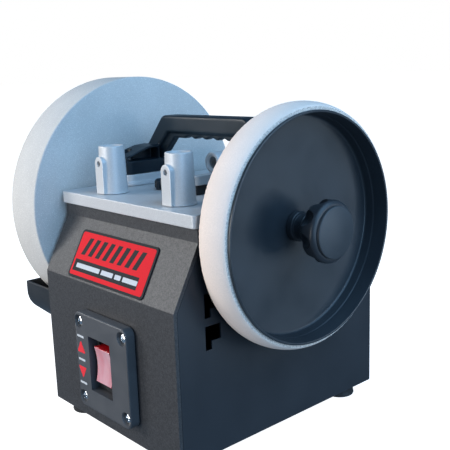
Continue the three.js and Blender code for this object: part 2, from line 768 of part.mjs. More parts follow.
function grindingStone() {
  const [left, right] = STONE_X;
  return ring(BORE_R, STONE_R, "x", left, right, WHEEL_SEGMENTS, 1.5);
}

function stoneNut() {
  const hexagon = new THREE.Shape();
  for (let corner = 0; corner < 6; corner += 1) {
    const angle = (corner * Math.PI) / 3;
    hexagon.lineTo(NUT.r * Math.cos(angle), NUT.r * Math.sin(angle));
  }
  const width = [STONE_X[0] - NUT.from, STONE_X[0] - NUT.to];
  return cut(alongX(hexagon, width), rod(BORE_R, "x", width[0] - 1, width[1] + 1));
}

// The moulded disc: a rim that carries the leather, a lip ahead of it, a deep cup and a hub.
function honingDisc() {
  const [back] = LEATHER_X;
  const [lipBack, front] = LIP.x;
  const [webBack, webFront] = WEB_X;
  return turned(
    [
      [BORE_R, HUB_X],
      [17, HUB_X],
      [19, webBack],
      [90, webBack],
      [92, back],
      [RIM_R, back],
      [RIM_R, lipBack],
      [LIP.r, lipBack],
      [LIP.r, front - 0.7],
      [LIP.r - 0.7, front],
      [LIP.inner + 0.5, front],
      [LIP.inner, front - 0.5],
      [LIP.inner - 0.1, LEDGE_X + 0.5],
      [LIP.inner - 0.9, LEDGE_X],
      [LIP.inner - 1.2, webFront + 1.2],
      [LIP.inner - 2.4, webFront],
      [BORE_R, webFront],
    ],
    "x",
    WHEEL_SEGMENTS,
  );
}

function leatherBand() {
  const seat = RIM_R + GAP;
  const [back, front] = LEATHER_X;
  return turned([[seat, back], ...CROWN, [seat, front]], "x", WHEEL_SEGMENTS);
}

function knobHead() {
  const outline = new THREE.Shape();
  const steps = KNOB.lobes * 6;
  for (let step = 0; step < steps; step += 1) {
    const angle = (step / steps) * 2 * Math.PI;
    const radius = KNOB.r + KNOB.wave * Math.cos(KNOB.lobes * angle);
    outline.lineTo(radius * Math.cos(angle), radius * Math.sin(angle));
  }
  return alongX(outline, KNOB.x);
}

function honingKnob() {
  const base = WEB_X[1] + RUNNING_GAP;
  const [head] = KNOB.x;
  const stem = turned(
    [
      [0, base],
      [13, base],
      [13, base + 3.5],
      [12, base + 5.5],
      [12, head - 6],
      [18, head + 1],
      [0, head + 1],
    ],
    "x",
  );
  return cut(join(knobHead(), stem), rod(BORE_R, "x", base - 1, SHAFT_RIGHT + 1));
}

function knobCap() {
  const back = KNOB.x[1] + GAP;
  const front = back + CAP.thick;
  return turned(
    [
      [0, back],
      [CAP.r, back],
      [CAP.r, front - 1.1],
      [CAP.r - 1.5, front],
      [0, front],
    ],
    "x",
    32,
  );
}

function addAxle() {
  addPiece("main_shaft", rod(SHAFT_R, "x", SHAFT_LEFT, SHAFT_RIGHT, 24), material.steel, AXLE);
  addPiece("shaft_bush_left", bush(-1), material.brass, AXLE);
  addPiece("shaft_bush_right", bush(1), material.brass, AXLE);
  const inside = [STONE_X[1] + GAP, -BUSH_FACE_X - RUNNING_GAP];
  const innerFlange = ring(BORE_R, FLANGE_R.inner, "x", ...inside, SMALL_SEGMENTS, 0.5);
  addPiece("stone_flange_inner", innerFlange, material.steel, AXLE);
  addPiece("grinding_stone", grindingStone(), material.stone, AXLE);
  const outside = [STONE_X[0] - NUT.to + GAP, STONE_X[0] - GAP];
  const outerFlange = ring(BORE_R, FLANGE_R.outer, "x", ...outside, SMALL_SEGMENTS, 0.8);
  addPiece("stone_flange_outer", outerFlange, material.steel, AXLE);
  addPiece("stone_nut", stoneNut(), material.steel, AXLE);
  const spacer = ring(BORE_R, SPACER_R, "x", BUSH_FACE_X + RUNNING_GAP, HUB_X - GAP);
  addPiece("wheel_spacer", spacer, material.steel, AXLE);
  addPiece("honing_disc", honingDisc(), material.blackGloss, AXLE);
  addPiece("leather_band", leatherBand(), material.leather, AXLE);
  addPiece("honing_knob", honingKnob(), material.blackPlastic, AXLE);
  addPiece("knob_cap", knobCap(), material.blackGloss, AXLE);
}

// ---- Drive inside the housing ----

function pulley(radius, boreRadius) {
  const flange = radius + PULLEY_FLANGE;
  const [left, right] = PULLEY_X;
  return turned(
    [
      [boreRadius, left],
      [flange, left],
      [flange, left + 1],
      [radius, left + 1.2],
      [radius, right - 1.2],
      [flange, right - 1],
      [flange, right],
      [boreRadius, right],
    ],
    "x",
    32,
  );
}

// A loop of (y, z) points round both pulleys, this far outside their rims.
function beltLoop(extra) {
  const dy = MOTOR_Y;
  const dz = MOTOR_Z - AXLE_Z;
  const lean = Math.asin((DRIVEN_R - DRIVING_R) / Math.hypot(dy, dz));
  const down = Math.atan2(dz, dy);
  const points = [];
  const sweep = (centre, radius, from, to) => {
    for (let step = 0; step <= BELT_STEPS; step += 1) {
      const angle = from + ((to - from) * step) / BELT_STEPS;
      points.push([centre[0] + radius * Math.cos(angle), centre[1] + radius * Math.sin(angle)]);
    }
  };
  const quarter = Math.PI / 2;
  const near = quarter - lean;
  sweep([MOTOR_Y, MOTOR_Z], DRIVING_R + extra, down - near, down + near);
  sweep([0, AXLE_Z], DRIVEN_R + extra, down + near, down - near + 2 * Math.PI);
  return points;
}

function driveBelt() {
  const loop = polygon(beltLoop(GAP + BELT_THICK));
  loop.holes.push(new THREE.Path(polygon(beltLoop(GAP)).getPoints()));
  return alongX(loop, shrink(PULLEY_X, BELT_SIDE));
}

function gearbox() {
  const { half, x, corner } = GEARBOX;
  const box = alongX(roundedRect([-half, half], [-half, half], corner), x, 4);
  const outputBore = rod(OUTPUT.bore, "x", OUTPUT.x[0] - 1, 0);
  const rotorBore = rod(ROTOR.bore, "x", x[0] - 6, ROTOR.shaft[1] + 1);
  return cut(box, outputBore, rotorBore);
}

function motorBracket() {
  const { x, half, sole, thick, hole } = BRACKET;
  const floor = BASE_TOP_Z + GAP - MOTOR_Z;
  const face = block(x, [-half, half], [floor, half]);
  const foot = block([-sole, x[1]], [-half, half], [floor, floor + thick]);
  return cut(join(face, foot), rod(hole, "x", x[0] - 2, x[1] + 2));
}

function motorRotor() {
  const core = rod(ROTOR.r, "x", ...ROTOR.core);
  return join(core, rod(OUTPUT.r, "x", ...ROTOR.shaft, 24));
}

function endBell() {
  const open = CASE_X[0] - GAP;
  const bore = OUTPUT.r + RUNNING_GAP;
  return turned(
    [
      [bore, open - 7.7],
      [16, open - 7.7],
      [MOTOR_R, open - 3.7],
      [MOTOR_R, open],
      [bore, open],
    ],
    "x",
    32,
  );
}

function addDrive() {
  addPiece("driven_pulley", pulley(DRIVEN_R, BORE_R), material.motor, AXLE);
  addPiece("motor_pulley", pulley(DRIVING_R, OUTPUT.r + GAP), material.motor, MOTOR_AXIS);
  addPiece("output_shaft", rod(OUTPUT.r, "x", ...OUTPUT.x, 24), material.steel, MOTOR_AXIS);
  addPiece("drive_belt", driveBelt(), material.belt);
  addPiece("gearbox", gearbox(), material.motor, MOTOR_AXIS);
  const can = ring(MOTOR_R - 2, MOTOR_R, "x", ...CASE_X, 32);
  addPiece("motor_case", can, material.motor, MOTOR_AXIS);
  addPiece("motor_end_bell", endBell(), material.motor, MOTOR_AXIS);
  const stator = ring(ROTOR.r + RUNNING_GAP, MOTOR_R - 2 - GAP, "x", ...STATOR_X, 32);
  addPiece("motor_stator", stator, material.copper, MOTOR_AXIS);
  addPiece("motor_rotor", motorRotor(), material.steel, MOTOR_AXIS);
  addPiece("motor_bracket", motorBracket(), material.sidePaint, MOTOR_AXIS);
  const floor = BASE_TOP_Z + GAP;
  const capacitor = rod(CAPACITOR.r, "z", 0, CAPACITOR.h);
  addPiece("run_capacitor", capacitor, material.blackPlastic, [CAPACITOR.x, CAPACITOR.y, floor]);
  const { x, halfX, halfY, h } = TERMINALS;
  const terminals = block([-halfX, halfX], [-halfY, halfY], [0, h]);
  addPiece("terminal_block", terminals, material.blackPlastic, [x, 0, floor]);
}

// ---- Cord gland ----

function addGland() {
  const { bore, r, collar, inside, out } = GLAND;
  const gland = turned(
    [
      [bore, -inside],
      [r, -inside],
      [r, GAP],
      [collar, GAP],
      [collar, out / 2],
      [collar - 4, out],
      [bore, out],
    ],
    "y",
    24,
  );
  addPiece("cord_gland", gland, material.rubber, [GLAND.x, REAR_Y, GLAND.z]);
}

// ---- Water trough ----

// Half-barrel outline in (y, z) with a level rim, this far inside the outer wall.
function troughOutline(inset) {
  const [bottom, top] = TROUGH_Z;
  const half = TROUGH_HALF_Y - inset;
  const floor = bottom + inset;
  const side = top - TROUGH_SIDE_H;
  const rim = top + (inset ? 1 : 0);
  const flat = TROUGH_FLAT;
  const shape = new THREE.Shape();
  shape.moveTo(-half, rim);
  shape.lineTo(-half, side);
  shape.bezierCurveTo(-half + 8, floor + 14, -half + 42, floor, -flat, floor);
  shape.lineTo(flat, floor);
  shape.bezierCurveTo(half - 42, floor, half - 8, floor + 14, half, side);
  shape.lineTo(half, rim);
  return shape;
}

// A hook leaves the trough's wall, passes the slot's narrow leg and turns down behind the panel.
function troughHook(front) {
  const y = shrink([front, front + SLOT.narrow], HOOK_PLAY);
  const low = SLOT_TOP_Z - SLOT.tall + 0.4;
  const near = -HALF_WIDTH + SHEET + RUNNING_GAP;
  const far = near + HOOK.thick;
  const stem = block([TROUGH_X[1] - 1, far], y, [low, low + HOOK.h]);
  const tongue = block([near, far], y, [low - HOOK.lip, low + HOOK.h]);
  return join(stem, tongue);
}

function addTrough() {
  const shell = alongX(troughOutline(0), TROUGH_X, 8);
  const hollow = alongX(troughOutline(TROUGH_WALL), shrink(TROUGH_X, TROUGH_WALL), 8);
  const hooks = SLOT_FRONTS.map(troughHook);
  addPiece("water_trough", join(cut(shell, hollow), ...hooks), material.blackPlastic);
}

// ---- Assembly ----

addHousing();
addTop();
addHandle();
addCover();
addBadge();
addSwitch();
addAxle();
addDrive();
addGland();
addTrough();

// The row's origin is the middle of the whole machine's footprint, on the floor.
const sharpener = new THREE.Group();
sharpener.add(machine);
const extent = new THREE.Box3().setFromObject(machine);
const middle = extent.getCenter(new THREE.Vector3());
machine.position.set(-middle.x, -middle.y, -extent.min.z);

export default sharpener;
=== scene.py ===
import math

import bmesh
import bpy
from mathutils import Matrix, Vector


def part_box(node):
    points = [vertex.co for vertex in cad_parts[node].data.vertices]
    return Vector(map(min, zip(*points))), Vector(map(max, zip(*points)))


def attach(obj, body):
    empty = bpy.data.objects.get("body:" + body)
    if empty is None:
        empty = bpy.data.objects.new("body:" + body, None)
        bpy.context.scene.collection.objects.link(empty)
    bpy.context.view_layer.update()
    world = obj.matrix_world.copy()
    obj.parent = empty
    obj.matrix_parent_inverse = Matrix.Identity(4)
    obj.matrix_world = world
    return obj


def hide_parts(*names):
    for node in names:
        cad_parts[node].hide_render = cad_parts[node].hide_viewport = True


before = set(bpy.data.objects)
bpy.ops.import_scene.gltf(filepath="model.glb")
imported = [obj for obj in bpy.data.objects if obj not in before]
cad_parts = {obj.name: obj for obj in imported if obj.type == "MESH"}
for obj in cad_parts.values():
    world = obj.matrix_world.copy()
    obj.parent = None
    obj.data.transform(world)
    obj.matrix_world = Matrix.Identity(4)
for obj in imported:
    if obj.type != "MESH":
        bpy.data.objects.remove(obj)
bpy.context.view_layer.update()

# ---- Working frame: millimetres, X from the middle of the cast top, Y from the axle, Z from the floor ----

MM = 0.001
PLATE_LOW, PLATE_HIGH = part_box("top_plate")
SHAFT_LOW, SHAFT_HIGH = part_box("main_shaft")
ORIGIN = Vector(((PLATE_LOW.x + PLATE_HIGH.x) / 2, (SHAFT_LOW.y + SHAFT_HIGH.y) / 2, 0))
TO_ROW = Matrix.Translation(ORIGIN) @ Matrix.Scale(MM, 4)
AXLE_Z = (SHAFT_LOW.z + SHAFT_HIGH.z) / 2 / MM
SIDES = ("left", "right")
ENDS = ("front", "rear")


def span(node, axis):
    """A CAD node's low and high value along an axis, in the working frame."""
    low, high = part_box(node)
    return (low[axis] - ORIGIN[axis]) / MM, (high[axis] - ORIGIN[axis]) / MM


def spans(node):
    return [span(node, axis) for axis in range(3)]


def grown(ends, by):
    """A low and a high value moved apart by this much each."""
    return ends[0] - by, ends[1] + by


# ---- Material nodes ----


class Shader:
    """A Principled material and the few node patterns that this scene uses."""

    def __init__(self, name, color, roughness=0.5, metallic=0.0, **sockets):
        self.material = bpy.data.materials.new(name)
        self.material.use_nodes = True
        self.tree = self.material.node_tree
        self.bsdf = self.tree.nodes["Principled BSDF"]
        sockets |= {"Base_Color": (*color, 1), "Roughness": roughness, "Metallic": metallic}
        for socket, value in sockets.items():
            self.bsdf.inputs[socket.replace("_", " ")].default_value = value
        self.color = color
        self.coords = self.tree.nodes.new("ShaderNodeTexCoord")

    def link(self, output, socket):
        self.tree.links.new(output, socket)

    def feed(self, socket, value):
        """Joins a socket to another node's output, or gives it a plain value."""
        if isinstance(value, bpy.types.NodeSocket):
            self.link(value, socket)
        else:
            socket.default_value = value

    def node(self, kind, **inputs):
        made = self.tree.nodes.new(kind)
        for name, value in inputs.items():
            self.feed(made.inputs[name.replace("_", " ")], value)
        return made

    def stretched(self, scale=(1, 1, 1)):
        source = self.coords.outputs["Object"]
        return self.node("ShaderNodeMapping", Vector=source, Scale=scale).outputs["Vector"]

    def noise(self, size_mm, detail=2.0, scale=(1, 1, 1)):
        """Noise whose features are about this many millimetres across."""
        grain = 1 / (size_mm * MM)
        made = self.node("ShaderNodeTexNoise", Vector=self.stretched(scale), Scale=grain, Detail=detail)
        return made.outputs["Fac"]

    def cells(self, size_mm):
        made = self.node("ShaderNodeTexVoronoi", Vector=self.stretched(), Scale=1 / (size_mm * MM))
        return made.outputs["Distance"]

    def remap(self, value, low, high, to_low=0.0, to_high=1.0):
        ends = {"From_Min": low, "From_Max": high, "To_Min": to_low, "To_Max": to_high}
        return self.node("ShaderNodeMapRange", Value=value, **ends).outputs["Result"]

    def math(self, operation, a, b=0.0):
        made = self.tree.nodes.new("ShaderNodeMath")
        made.operation = operation
        for socket, value in zip(made.inputs, (a, b)):
            self.feed(socket, value)
        return made.outputs["Value"]

    def blend(self, factor, a, b):
        """A colour between a and b. Each is a colour or a socket."""
        made = self.tree.nodes.new("ShaderNodeMix")
        made.data_type = "RGBA"
        self.link(factor, made.inputs["Factor"])
        for name, value in (("A", a), ("B", b)):
            self.feed(made.inputs[name], (*value, 1) if isinstance(value, tuple) else value)
        return made.outputs["Result"]

    def facing(self, axis):
        """How far a face looks along an axis of its own object, from -1 to 1."""
        made = self.node("ShaderNodeSeparateXYZ", Vector=self.coords.outputs["Normal"])
        return made.outputs[axis]

    def paint(self, color):
        self.link(color, self.bsdf.inputs["Base Color"])

    def tones(self, pattern, dark, light, low=0.3, high=0.7):
        """The material's own colour, darker where the pattern is low and lighter where it is high."""
        return self.blend(self.remap(pattern, low, high), shade(self.color, dark), shade(self.color, light))

    def rough(self, pattern, to_low, to_high, low=0.3, high=0.7):
        self.link(self.remap(pattern, low, high, to_low, to_high), self.bsdf.inputs["Roughness"])

    def bump(self, *layers):
        """Bumps stacked from (height, depth in mm) pairs."""
        normal = None
        for height, depth in layers:
            made = self.node("ShaderNodeBump", Height=height, Strength=1.0, Distance=depth * MM)
            if normal is not None:
                self.link(normal, made.inputs["Normal"])
            normal = made.outputs["Normal"]
        self.link(normal, self.bsdf.inputs["Normal"])


def shade(color, factor):
    return tuple(channel * factor for channel in color)


def textured_paint(name, color, grain_mm, depth_mm, roughness):
    """Powder coat: a fine pebbled skin whose peaks are lighter than its pits, as painted light on the peaks
    and painted shade in the pits, over random patches of tone.
    """
    shader = Shader(name, color, roughness)
    grain = shader.noise(grain_mm, 3.0)
    patches = shader.noise(grain_mm * 2.6, 2.0)
    # Painted shade and light: the colour follows the grain that also raises the bump, dark in the pits and
    # light on the peaks.
    fine = shader.remap(grain, 0.35, 0.65, 0.0, 0.65)
    painted_pit_shade_and_patches = shader.math("ADD", fine, shader.remap(patches, 0.35, 0.65, 0.0, 0.35))
    shader.paint(shader.blend(painted_pit_shade_and_patches, shade(color, 0.55), shade(color, 1.5)))
    shader.rough(grain, roughness + 0.08, roughness - 0.08, 0.25, 0.75)
    shader.bump((grain, depth_mm), (shader.noise(grain_mm * 0.45, 2.0), depth_mm * 0.4))
    return shader.material


def smooth_paint(name, color, roughness):
    """Sprayed paint: an even coat with slight orange peel and faint handling marks."""
    shader = Shader(name, color, roughness)
    wear = shader.noise(45.0, 4.0)
    shader.paint(shader.tones(wear, 0.94, 1.06, 0.35, 0.65))
    shader.rough(wear, roughness - 0.05, roughness + 0.07)
    shader.bump((shader.noise(2.2, 2.0), 0.02))
    return shader.material


def cast_paint(name, color):
    """Silver paint over a casting: fine metallic grain over soft casting waves."""
    shader = Shader(name, color, 0.42, 0.15)
    grain = shader.noise(0.7, 3.0)
    shader.paint(shader.tones(grain, 0.9, 1.08))
    shader.rough(grain, 0.36, 0.52)
    shader.bump((grain, 0.02), (shader.noise(9.0, 2.0), 0.05))
    return shader.material


def moulded_plastic(name, color, roughness, grain_mm=0.6, depth_mm=0.02, shine=0.5):
    """Moulded plastic: fine spark-eroded grain with slightly polished areas."""
    shader = Shader(name, color, roughness, Specular_IOR_Level=shine)
    handling = shader.noise(22.0, 3.0)
    shader.paint(shader.tones(handling, 0.9, 1.12))
    shader.rough(handling, roughness - 0.07, roughness + 0.07)
    shader.bump((shader.noise(grain_mm, 2.0), depth_mm))
    return shader.material


def disc_plastic(name, color):
    """Satin black moulding with faint smudges and specks of dust."""
    shader = Shader(name, color, 0.4)
    smudges = shader.noise(30.0, 5.0)
    specks = shader.remap(shader.cells(7.0), 0.05, 0.035)
    haze = shader.remap(smudges, 0.4, 0.7, 0.0, 0.5)
    base = shader.blend(haze, color, shade(color, 1.35))
    shader.paint(shader.blend(shader.math("MULTIPLY", specks, 0.25), base, (0.1, 0.12, 0.14)))
    shader.rough(smudges, 0.28, 0.42)
    shader.bump((shader.noise(1.2, 2.0), 0.008), (shader.noise(14.0, 2.0), 0.03))
    return shader.material


def stone_material():
    """Fine aluminium-oxide grit: pale grains in a slightly darker bond, with soft cloudy patches."""
    color = (0.665, 0.645, 0.62)
    shader = Shader("wet_stone", color, 0.92)
    grit = shader.noise(0.55, 3.0)
    clouds = shader.noise(34.0, 4.0)
    flecks = shader.remap(shader.cells(1.5), 0.12, 0.3)
    speckled = shader.blend(shader.remap(grit, 0.3, 0.7), shade(color, 0.8), shader.tones(clouds, 0.92, 1.07))
    shader.paint(shader.blend(flecks, shade(color, 1.2), speckled))
    shader.bump((grit, 0.12), (shader.cells(1.5), 0.05))
    return shader.material


def leather_material():
    """Undyed split leather: short suede nap on the face, a fibrous cut edge on the sides."""
    color = (0.89, 0.75, 0.665)
    shader = Shader("honing_leather", color, 0.85, Sheen_Weight=0.1, Sheen_Roughness=0.5)
    nap = shader.noise(0.8, 4.0)
    blotches = shader.noise(18.0, 4.0)
    fibres = shader.noise(1.1, 4.0, (2.6, 1, 1))
    worn = shader.tones(blotches, 0.95, 1.04)
    face = shader.blend(shader.remap(nap, 0.35, 0.65), shade(color, 0.93), worn)
    cut = shader.blend(shader.remap(fibres, 0.35, 0.65), (0.50, 0.43, 0.39), (0.86, 0.76, 0.67))
    side = shader.remap(shader.math("ABSOLUTE", shader.facing("X")), 0.86, 0.97)
    shader.paint(shader.blend(side, face, cut))
    shader.bump((nap, 0.06), (shader.math("MULTIPLY", fibres, side), 0.5))
    return shader.material


def rocker_material():
    """Clear-cast red acrylic: milky where the face scatters light, deep red at the sides."""
    clear = {"Coat_Weight": 0.6, "Coat_Roughness": 0.12}
    milky = {"Subsurface_Weight": 0.15, "Subsurface_Radius": (0.004, 0.001, 0.001)}
    shader = Shader("rocker_red", (0.6, 0.01, 0.015), 0.22, **clear, **milky)
    front = shader.remap(shader.facing("Y"), -0.75, -0.95)
    streaks = shader.noise(9.0, 3.0, (1, 1, 0.35))
    milk = shader.blend(shader.remap(streaks, 0.3, 0.7), (0.70, 0.28, 0.32), (0.74, 0.42, 0.46))
    shader.paint(shader.blend(front, (0.55, 0.008, 0.015), milk))
    shader.bump((shader.noise(3.0, 2.0), 0.01))
    return shader.material


def bare_metal(name, color, roughness, along=(1, 1, 1), depth_mm=0.006):
    """Turned or brushed metal: fine lines along one direction and small stains."""
    shader = Shader(name, color, roughness, 1.0)
    lines = shader.noise(0.5, 3.0, along)
    stains = shader.noise(12.0, 4.0)
    shader.paint(shader.tones(stains, 0.85, 1.05))
    shader.rough(lines, roughness * 0.75, roughness * 1.35)
    shader.bump((lines, depth_mm))
    return shader.material


def rubber_material():
    shader = Shader("black_rubber", (0.02, 0.02, 0.021), 0.78)
    dust = shader.remap(shader.noise(6.0, 5.0), 0.4, 0.75)
    shader.paint(shader.blend(dust, (0.018, 0.018, 0.019), (0.05, 0.05, 0.052)))
    shader.bump((shader.noise(0.5, 2.0), 0.03))
    return shader.material


def printed_ink(name, color):
    """Screen print or foil: a thin even film with tiny pinholes."""
    shader = Shader(name, color, 0.6, Specular_IOR_Level=0.12)
    film = shader.noise(0.5, 3.0)
    shader.paint(shader.tones(film, 0.85, 1, 0.25, 0.6))
    shader.bump((film, 0.01))
    return shader.material


def winding_material():
    """Varnished copper wire: fine parallel turns, painted darker in the grooves between them as painted
    shade.
    """
    shader = Shader("winding_copper", (0.45, 0.17, 0.06), 0.35, 0.8)
    source = shader.coords.outputs["Object"]
    turns = shader.node("ShaderNodeTexWave", Vector=source, Scale=400).outputs["Fac"]
    # Painted shade: the colour darkens with the bump into the grooves between turns.
    shader.paint(shader.blend(turns, (0.25, 0.08, 0.03), (0.55, 0.22, 0.08)))
    shader.bump((turns, 0.2))
    return shader.material


DARK_PAINT = textured_paint("dark_powder_coat", (0.040, 0.039, 0.041), 1.1, 0.09, 0.5)
SIDE_PAINT = smooth_paint("side_paint", (0.019, 0.023, 0.029), 0.42)
SILVER = cast_paint("silver_casting", (0.60, 0.60, 0.605))
STONE = stone_material()
LEATHER = leather_material()
DISC = disc_plastic("disc_black", (0.023, 0.028, 0.034))
KNOB = moulded_plastic("knob_black", (0.021, 0.025, 0.031), 0.38, 1.4, 0.008)
CAP = moulded_plastic("cap_black", (0.038, 0.043, 0.049), 0.48, 1.4, 0.006)
HANDLE = moulded_plastic("handle_black", (0.006, 0.014, 0.022), 0.42, shine=0.33)
COVER = moulded_plastic("cover_grey", (0.40, 0.41, 0.42), 0.5)
BEZEL = moulded_plastic("bezel_black", (0.075, 0.077, 0.083), 0.45)
TROUGH = moulded_plastic("trough_black", (0.022, 0.024, 0.027), 0.38, 0.9, 0.03)
DEEP_BLACK = moulded_plastic("switch_black", (0.010, 0.011, 0.013), 0.5)
RED = rocker_material()
STEEL = bare_metal("steel", (0.56, 0.57, 0.58), 0.3, (1, 8, 8))
CHROME = bare_metal("chrome", (0.86, 0.88, 0.9), 0.12, (6, 1, 1), 0.002)
BRONZE = bare_metal("bronze", (0.55, 0.38, 0.17), 0.42)
MOTOR_METAL = bare_metal("motor_metal", (0.42, 0.43, 0.45), 0.48, (1, 1, 1), 0.03)
RUBBER = rubber_material()
COPPER = winding_material()
BADGE_BLACK = printed_ink("badge_black", (0.022, 0.024, 0.026))
BADGE_RED = printed_ink("badge_red", (0.78, 0.011, 0.022))
MARK_WHITE = printed_ink("mark_white", (0.62, 0.64, 0.67))
MARK_RED = printed_ink("mark_red", (0.85, 0.045, 0.06))

# ---- Outlines ----


def rounded(corners, steps=6):
    """A closed outline from (u, v, radius) corners, each corner turned into an arc."""
    points = []
    count = len(corners)
    for index, (u, v, radius) in enumerate(corners):
        here = Vector((u, v))
        before = (Vector(corners[index - 1][:2]) - here).normalized()
        after = (Vector(corners[(index + 1) % count][:2]) - here).normalized()
        angle = before.angle(after)
        if radius <= 0 or angle > math.pi - 0.01:
            points.append(here)
            continue
        reach = radius / math.tan(angle / 2)
        start, end = here + before * reach, here + after * reach
        centre = here + (before + after).normalized() * (radius / math.sin(angle / 2))
        first, last = start - centre, end - centre
        turn = first.angle_signed(last)
        for step in range(steps + 1):
            spun = first.copy()
            spun.rotate(Matrix.Rotation(-turn * step / steps, 2))
            points.append(centre + spun)
    return [(point.x, point.y) for point in points]


def rectangle(u, v, radius, steps=8):
    corners = ((u[0], v[0]), (u[1], v[0]), (u[1], v[1]), (u[0], v[1]))
    return rounded([(*corner, radius) for corner in corners], steps)


def circle(u, v, radius, steps=48):
    angles = [2 * math.pi * step / steps for step in range(steps)]
    return [(u + radius * math.cos(angle), v + radius * math.sin(angle)) for angle in angles]


# ---- Meshes ----

# Where an outline's two directions and the sweep's direction point, for each sweep axis.
SWEEP_AXES = {"X": (1, 2, 0), "Y": (0, 2, 1), "Z": (0, 1, 2)}


def placed(axis, u, v, w):
    point = [0.0, 0.0, 0.0]
    for index, value in zip(SWEEP_AXES[axis], (u, v, w)):
        point[index] = value
    return point


def piece(name, bm, material, matrix=Matrix.Identity(4)):
    """Turns a bmesh in working millimetres into an object in the row frame."""
    bmesh.ops.remove_doubles(bm, verts=bm.verts, dist=1e-4)
    bmesh.ops.recalc_face_normals(bm, faces=bm.faces)
    mesh = bpy.data.meshes.new(name)
    bm.to_mesh(mesh)
    bm.free()
    mesh.transform(TO_ROW @ matrix)
    mesh.materials.append(material)
    made = bpy.data.objects.new(name, mesh)
    bpy.context.collection.objects.link(made)
    return made


def sweep(name, outline, reach, axis, material, matrix=Matrix.Identity(4)):
    """A closed outline carried straight along an axis."""
    bm = bmesh.new()
    ends = [[bm.verts.new(placed(axis, u, v, w)) for u, v in outline] for w in reach]
    count = len(outline)
    for index in range(count):
        after = (index + 1) % count
        bm.faces.new((ends[0][index], ends[0][after], ends[1][after], ends[1][index]))
    for end in ends:
        bm.faces.new(end)
    return piece(name, bm, material, matrix)


def block(name, x, y, z, material=DEEP_BLACK):
    return sweep(name, rectangle(x, y, 0), z, "Z", material)


def cutter(outline, reach, axis):
    """A straight tool for carve(). Its own material is never seen."""
    return sweep("cutter", outline, reach, axis, DEEP_BLACK)


def lathe(name, profile, material, centre=(0, 0, AXLE_Z), axis="X", steps=96, radius=None):
    """A closed (radius, along) profile turned about an axis. radius(r, along, angle) may vary it."""
    bm = bmesh.new()
    rings = []
    for step in range(steps):
        angle = 2 * math.pi * step / steps
        ring = []
        for r, along in profile:
            reach = radius(r, along, angle) if radius else r
            point = placed(axis, reach * math.cos(angle), reach * math.sin(angle), along)
            ring.append(bm.verts.new([point[i] + centre[i] for i in range(3)]))
        rings.append(ring)
    count = len(profile)
    for step in range(steps):
        here, there = rings[step], rings[(step + 1) % steps]
        for index in range(count):
            after = (index + 1) % count
            if profile[index][0] <= 0 and profile[after][0] <= 0:
                continue
            bm.faces.new((here[index], here[after], there[after], there[index]))
    made = piece(name, bm, material)
    smooth(made)
    return made


def round_cutter(profile, centre, axis="Z", steps=64):
    """A turned tool for carve()."""
    return lathe("cutter", profile, DEEP_BLACK, centre, axis, steps)


def smooth(made, angle=32):
    made.data.shade_smooth()
    made.data.set_sharp_from_angle(angle=math.radians(angle))


def settle(made):
    """Applies every modifier of a piece to its mesh."""
    graph = bpy.context.evaluated_depsgraph_get()
    old = made.data
    made.data = bpy.data.meshes.new_from_object(made.evaluated_get(graph))
    made.modifiers.clear()
    bpy.data.meshes.remove(old)
    return made


def carve(made, tools, operation="DIFFERENCE"):
    for tool in tools:
        cut = made.modifiers.new("carve", "BOOLEAN")
        cut.object = tool
        cut.operation = operation
        cut.solver = "EXACT"
    settle(made)
    for tool in tools:
        bpy.data.objects.remove(tool)
    return made


def soften(made, width, segments=3, angle=32):
    """Rounds every edge sharper than the angle, as paint, bending or moulding would."""
    edge = made.modifiers.new("soften", "BEVEL")
    edge.width = width * MM
    edge.segments = segments
    edge.limit_method = "ANGLE"
    edge.angle_limit = math.radians(angle)
    settle(made)
    smooth(made, 40)
    even = made.modifiers.new("even", "WEIGHTED_NORMAL")
    even.keep_sharp = True
    return settle(made)


def fuse(made, voxel, rounds, keep=1.0):
    """Melts joined shapes into one skin with soft fillets, as in a casting or a moulding."""
    skin = made.modifiers.new("skin", "REMESH")
    skin.mode = "VOXEL"
    skin.voxel_size = voxel * MM
    relax = made.modifiers.new("relax", "SMOOTH")
    relax.factor = 0.5
    relax.iterations = rounds
    if keep < 1:
        thin = made.modifiers.new("thin", "DECIMATE")
        thin.ratio = keep
    settle(made)
    made.data.shade_smooth()
    return made


def detailed(node, width, material, segments=3):
    """A CAD node's own shape with its edges softened."""
    made = bpy.data.objects.new(node + "_skin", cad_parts[node].data.copy())
    bpy.context.collection.objects.link(made)
    bm = bmesh.new()
    bm.from_mesh(made.data)
    bmesh.ops.remove_doubles(bm, verts=bm.verts, dist=1e-6)
    bmesh.ops.dissolve_limit(bm, angle_limit=math.radians(1), verts=bm.verts, edges=bm.edges)
    bm.to_mesh(made.data)
    bm.free()
    made.data.materials.clear()
    made.data.materials.append(material)
    return soften(made, width, segments)


def stands_for(made, node, body="housing"):
    """Says which CAD node and body a piece belongs to."""
    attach(made, body)
    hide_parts(node)
    return made


def belongs(made, body):
    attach(made, body)
    return made


def middle(node):
    """The middle of a CAD node's box, in the working frame."""
    return tuple(sum(span(node, axis)) / 2 for axis in range(3))


def half_size(node, axis=0):
    low, high = span(node, axis)
    return (high - low) / 2


def offset_line(points, distance):
    """An open line moved sideways, to the left of its direction of travel."""
    line = [Vector(point) for point in points]
    normals = [(b - a).normalized().orthogonal() for a, b in zip(line, line[1:])]
    moved = []
    for index, point in enumerate(line):
        before = normals[max(index - 1, 0)]
        after = normals[min(index, len(normals) - 1)]
        moved.append(tuple(point + (before + after) * distance / (1 + before.dot(after))))
    return moved


